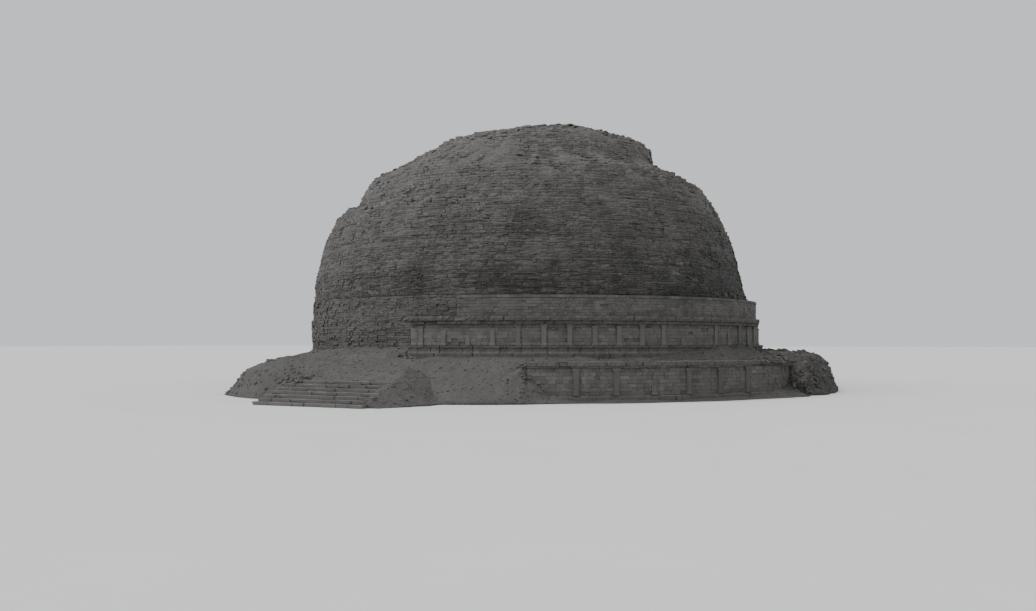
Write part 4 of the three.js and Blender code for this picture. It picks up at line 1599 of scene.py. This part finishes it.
def make_coping_litter():
    """Small stones and crumbs along the top of the terrace's edge."""
    up = Vector((0, 0, 2.69 * SCALE))
    for i, (start, end) in enumerate(((26.5, 79.5), (101, 169), (191, 259))):
        azimuths = np.arange(start, end, 1.0)
        points = [outward(a) * r * SCALE + up for a in azimuths for r in (22.6, 24.12)]
        faces = [(2 * s, 2 * s + 1, 2 * s + 3, 2 * s + 2) for s in range(len(azimuths) - 1)]
        name = f"coping_strip_{i}"
        strip = bpy.data.objects.new(name, mesh_from(name, points, faces))
        piece = scattered(
            f"coping_litter_{i}", strip, density=9.0, smallest=0.05, largest=0.26, seed=191 + i,
            finish=fallen_stone,
        )
        keep(piece, "fallen_debris")


def make_banks():
    """Debris along the foot of the terrace, thick in the corner beside the south flight, and of the drum."""
    southeast = [
        (8.6, 1.6, 2.4), (13.0, 1.3, 2.0), (18.0, 1.15, 1.7), (22.0, 1.5, 1.6), (25.3, 1.9, 1.5),
        (27.3, 1.2, 1.2), (29.5, 0.5, 0.9), (34.0, 0.15, 0.6), (42.0, 0.3, 0.9), (50.0, 0.1, 0.5),
        (58.0, 0.3, 0.9), (66.0, 0.2, 0.7), (74.0, 0.5, 1.2), (80.0, 0.9, 1.6),
    ]
    arc = (8.6, 79.6)
    make_bank("southeast_foot_bank", arc, TERRACE_FACE, 0.0, southeast, earth, fallen_stone, seed=181)
    low = ((0.22, 0.8), (0.08, 0.5), (0.3, 0.9), (0.1, 0.5), (0.25, 0.8))
    sides = (("northeast", 100, 68), ("northwest", 192, 67), ("southwest", 281, 43))
    for i, (side, start, length) in enumerate(sides):
        arc = (start, start + length)
        spread = [(start + length * k / 4, h, r) for k, (h, r) in enumerate(low)]
        name = side + "_foot_bank"
        make_bank(name, arc, TERRACE_FACE, 0.0, spread, earth, fallen_stone, seed=182 + i, density=8.0)
    dark = (dark_earth, dark_fallen_stone)
    drum = [(50.0, 0.05, 0.5), (58.0, 0.5, 1.3), (66.0, 0.75, 1.8), (76.0, 1.0, 2.2), (84.0, 1.1, 2.4)]
    make_bank("drum_foot_bank", (50, 84), 19.95, TERRACE_TOP, drum, *dark, seed=186)
    end = [(79.0, 2.35, 0.9), (81.0, 2.6, 1.4), (88.0, 2.7, 2.4)]
    make_bank("heap_end_bank", (79.0, 88.0), 23.7, 0.0, end, *dark, seed=187)
    north = [
        (101.0, 0.6, 0.4), (106.0, 1.6, 1.0), (111.0, 1.8, 1.6), (116.0, 1.3, 1.7), (121.0, 0.6, 1.2),
        (128.0, 0.1, 0.5),
    ]
    make_bank("heap_north_bank", (101.0, 128.0), TERRACE_FACE, 0.0, north, *dark, seed=189, density=12.0)
    make_cheek_bank()
    make_coping_litter()


def make_dome_scree():
    """Loose stones on the flatter shoulders and the crown of the dome."""
    names = [stage[0] for stage in DOME_STAGES]
    surface = Surface(*names)
    shape = bmesh.new()
    for node in names:
        shape.from_mesh(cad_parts[node].data)
    hidden = []
    for face in shape.faces:
        middle = face.calc_center_median()
        top = surface.top(middle.x / SCALE, middle.y / SCALE)
        if face.normal.z < 0.42 or top is None or top > middle.z / SCALE + 0.05:
            hidden.append(face)
    bmesh.ops.delete(shape, geom=hidden, context="FACES")
    bmesh.ops.translate(shape, verts=shape.verts, vec=(0, 0, -0.09 * SCALE))
    mesh = bpy.data.meshes.new("shoulders")
    shape.to_mesh(mesh)
    shape.free()
    base = bpy.data.objects.new("shoulders", mesh)
    piece = scattered(
        "dome_loose_stones", base, density=1.5, smallest=0.1, largest=0.42, seed=161, finish=dome_stone,
    )
    keep(piece, "dome_rubble")


def ends_of(node):
    """The first and the last azimuth of a node that doesn't go all the way round."""
    azimuths = sorted(azimuth_of(v.co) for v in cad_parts[node].data.vertices)
    gaps = zip(azimuths, azimuths[1:] + [azimuths[0] + 360])
    last, first = max(gaps, key=lambda gap: gap[1] - gap[0])
    return first, last


# Rows of node, cell, lump and sink of its mass, and density, smallest and largest of the stones on it
HEAPS = (
    ("east_rubble_heap", 0.18, 0.34, 0.0, 13.0, 0.1, 0.6),
    ("southwest_rubble_slope", 0.18, 0.15, 0.0, 12.0, 0.07, 0.42),
    ("south_rubble_slope", 0.15, 0.12, 0.0, 17.0, 0.06, 0.27),
    ("south_steps_rubble", 0.15, 0.12, 0.1, 17.0, 0.06, 0.27),
    ("terrace_debris_southwest", 0.19, 0.12, 0.22, 11.0, 0.07, 0.33),
    ("terrace_debris_southeast", 0.16, 0.1, 0.22, 13.0, 0.06, 0.27),
    ("terrace_debris_northeast", 0.19, 0.1, 0.22, 9.0, 0.06, 0.4),
    ("terrace_debris_northwest", 0.19, 0.08, 0.22, 8.0, 0.06, 0.4),
)


def make_debris():
    """The heaps and banks that stand for their solids, with stones, and piles at the ends of the banks."""
    tail = Laying(seed=173)
    mounds = []
    for i, (node, cell, lump, sink, density, smallest, largest) in enumerate(HEAPS):
        ground, stones = earth, fallen_stone
        if node == "east_rubble_heap":
            ground, stones = dark_earth, dark_fallen_stone
        mass = uneven_mass(node, cell, lump, sink, ground, 3.7 * i + 1)
        scatter(mass, node + "_stones", density, smallest, largest, 141 + i, stones)
        if node.startswith("terrace_debris"):
            for azimuth in ends_of(node):
                size = (tail.draw.uniform(1.0, 1.5), 0.9, tail.draw.uniform(0.35, 0.5))
                put_pile(tail, mounds, azimuth, 20.6, TERRACE_TOP, size, count=70, largest=0.4)
    keep(tail.build("debris_tails", boulders, fallen_stone, roughness=0.03), "fallen_debris")
    keep(joined_stones("debris_tails_earth", mounds, earth), "fallen_debris", smooth=True)


# Studio


def finish_solid(node, finish):
    """Gives a solid that stays in the looks its finish."""
    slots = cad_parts[node].data.materials
    slots.clear()
    slots.append(finish)


def make_floor():
    """A wide, plain floor just under the model."""
    corners = [(-400, -400, 0), (400, -400, 0), (400, 400, 0), (-400, 400, 0)]
    mesh = mesh_from("floor", corners, [(0, 1, 2, 3)])
    mesh.materials.append(plain_floor("pale_floor"))
    floor = bpy.data.objects.new("floor", mesh)
    floor.location.z = -0.003
    bpy.context.scene.collection.objects.link(floor)
    floor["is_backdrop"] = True


def make_camera():
    """The place that the photograph was taken from."""
    azimuth = 27
    distance = 89.5
    eye = 4.0
    focal = 1000  # the photograph's focal length, and like the next two in its pixels
    axis = 15.5  # how far the stupa's axis lies right of the picture's middle
    horizon = 36.5  # how far the horizon lies below it
    data = bpy.data.cameras.new("camera")
    data.sensor_width = 36
    data.lens = 34.75
    data.clip_end = 2000
    camera = bpy.data.objects.new("camera", data)
    bpy.context.scene.collection.objects.link(camera)
    camera.location = outward(azimuth) * distance * SCALE + Vector((0, 0, eye * SCALE))
    heading = math.radians(azimuth) + math.atan(axis / focal)
    pitch = math.pi / 2 + math.atan(horizon / focal)
    camera.rotation_euler = Euler((pitch, 0, heading))
    bpy.context.scene.camera = camera


def make_lights():
    """A bright, slightly cool surround and one broad sun from the left."""
    world = bpy.data.worlds.new("soft_studio")
    world.use_nodes = True
    background = world.node_tree.nodes["Background"]
    background.inputs["Color"].default_value = (0.93, 0.96, 1.0, 1)
    background.inputs["Strength"].default_value = 0.82
    bpy.context.scene.world = world
    data = bpy.data.lights.new("key", "SUN")
    data.energy = 2.45
    data.angle = math.radians(60)
    light = bpy.data.objects.new("key", data)
    azimuth, elevation = -42, 57
    light.rotation_euler = Euler((math.radians(90 - elevation), 0, math.radians(azimuth)))
    bpy.context.scene.collection.objects.link(light)


make_camera()
make_lights()
make_floor()
finish_solid("drum_core", rubble_bed)
make_dome()
make_bare_core()
make_upper_walls()
make_drum_walls()
make_drum_mouldings()
make_terrace_mass()
make_terrace_walls()
make_bare_terrace_wall()
make_paving()
make_flight("south", 0, STANDING_STEPS, seed=151)
make_flight("north", 180, STEPS, seed=152)
make_flight("west", 270, STEPS, seed=153)
make_debris()
make_edge_debris("worn_edge_debris", WORN_EDGE, inner=21.3, within=(22.5, 1.2), seed=195, density=11.0)
make_edge_debris("broken_edge_debris", BROKEN_EDGE, inner=22.4, within=(23.3, 0.8), seed=196, density=14.0)
make_piles()
make_banks()
make_dome_scree()

boxes = {"solids": solids_box, "looks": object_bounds()}
{name: [[round(c, 4) for c in corner] for corner in box] for name, box in boxes.items()}
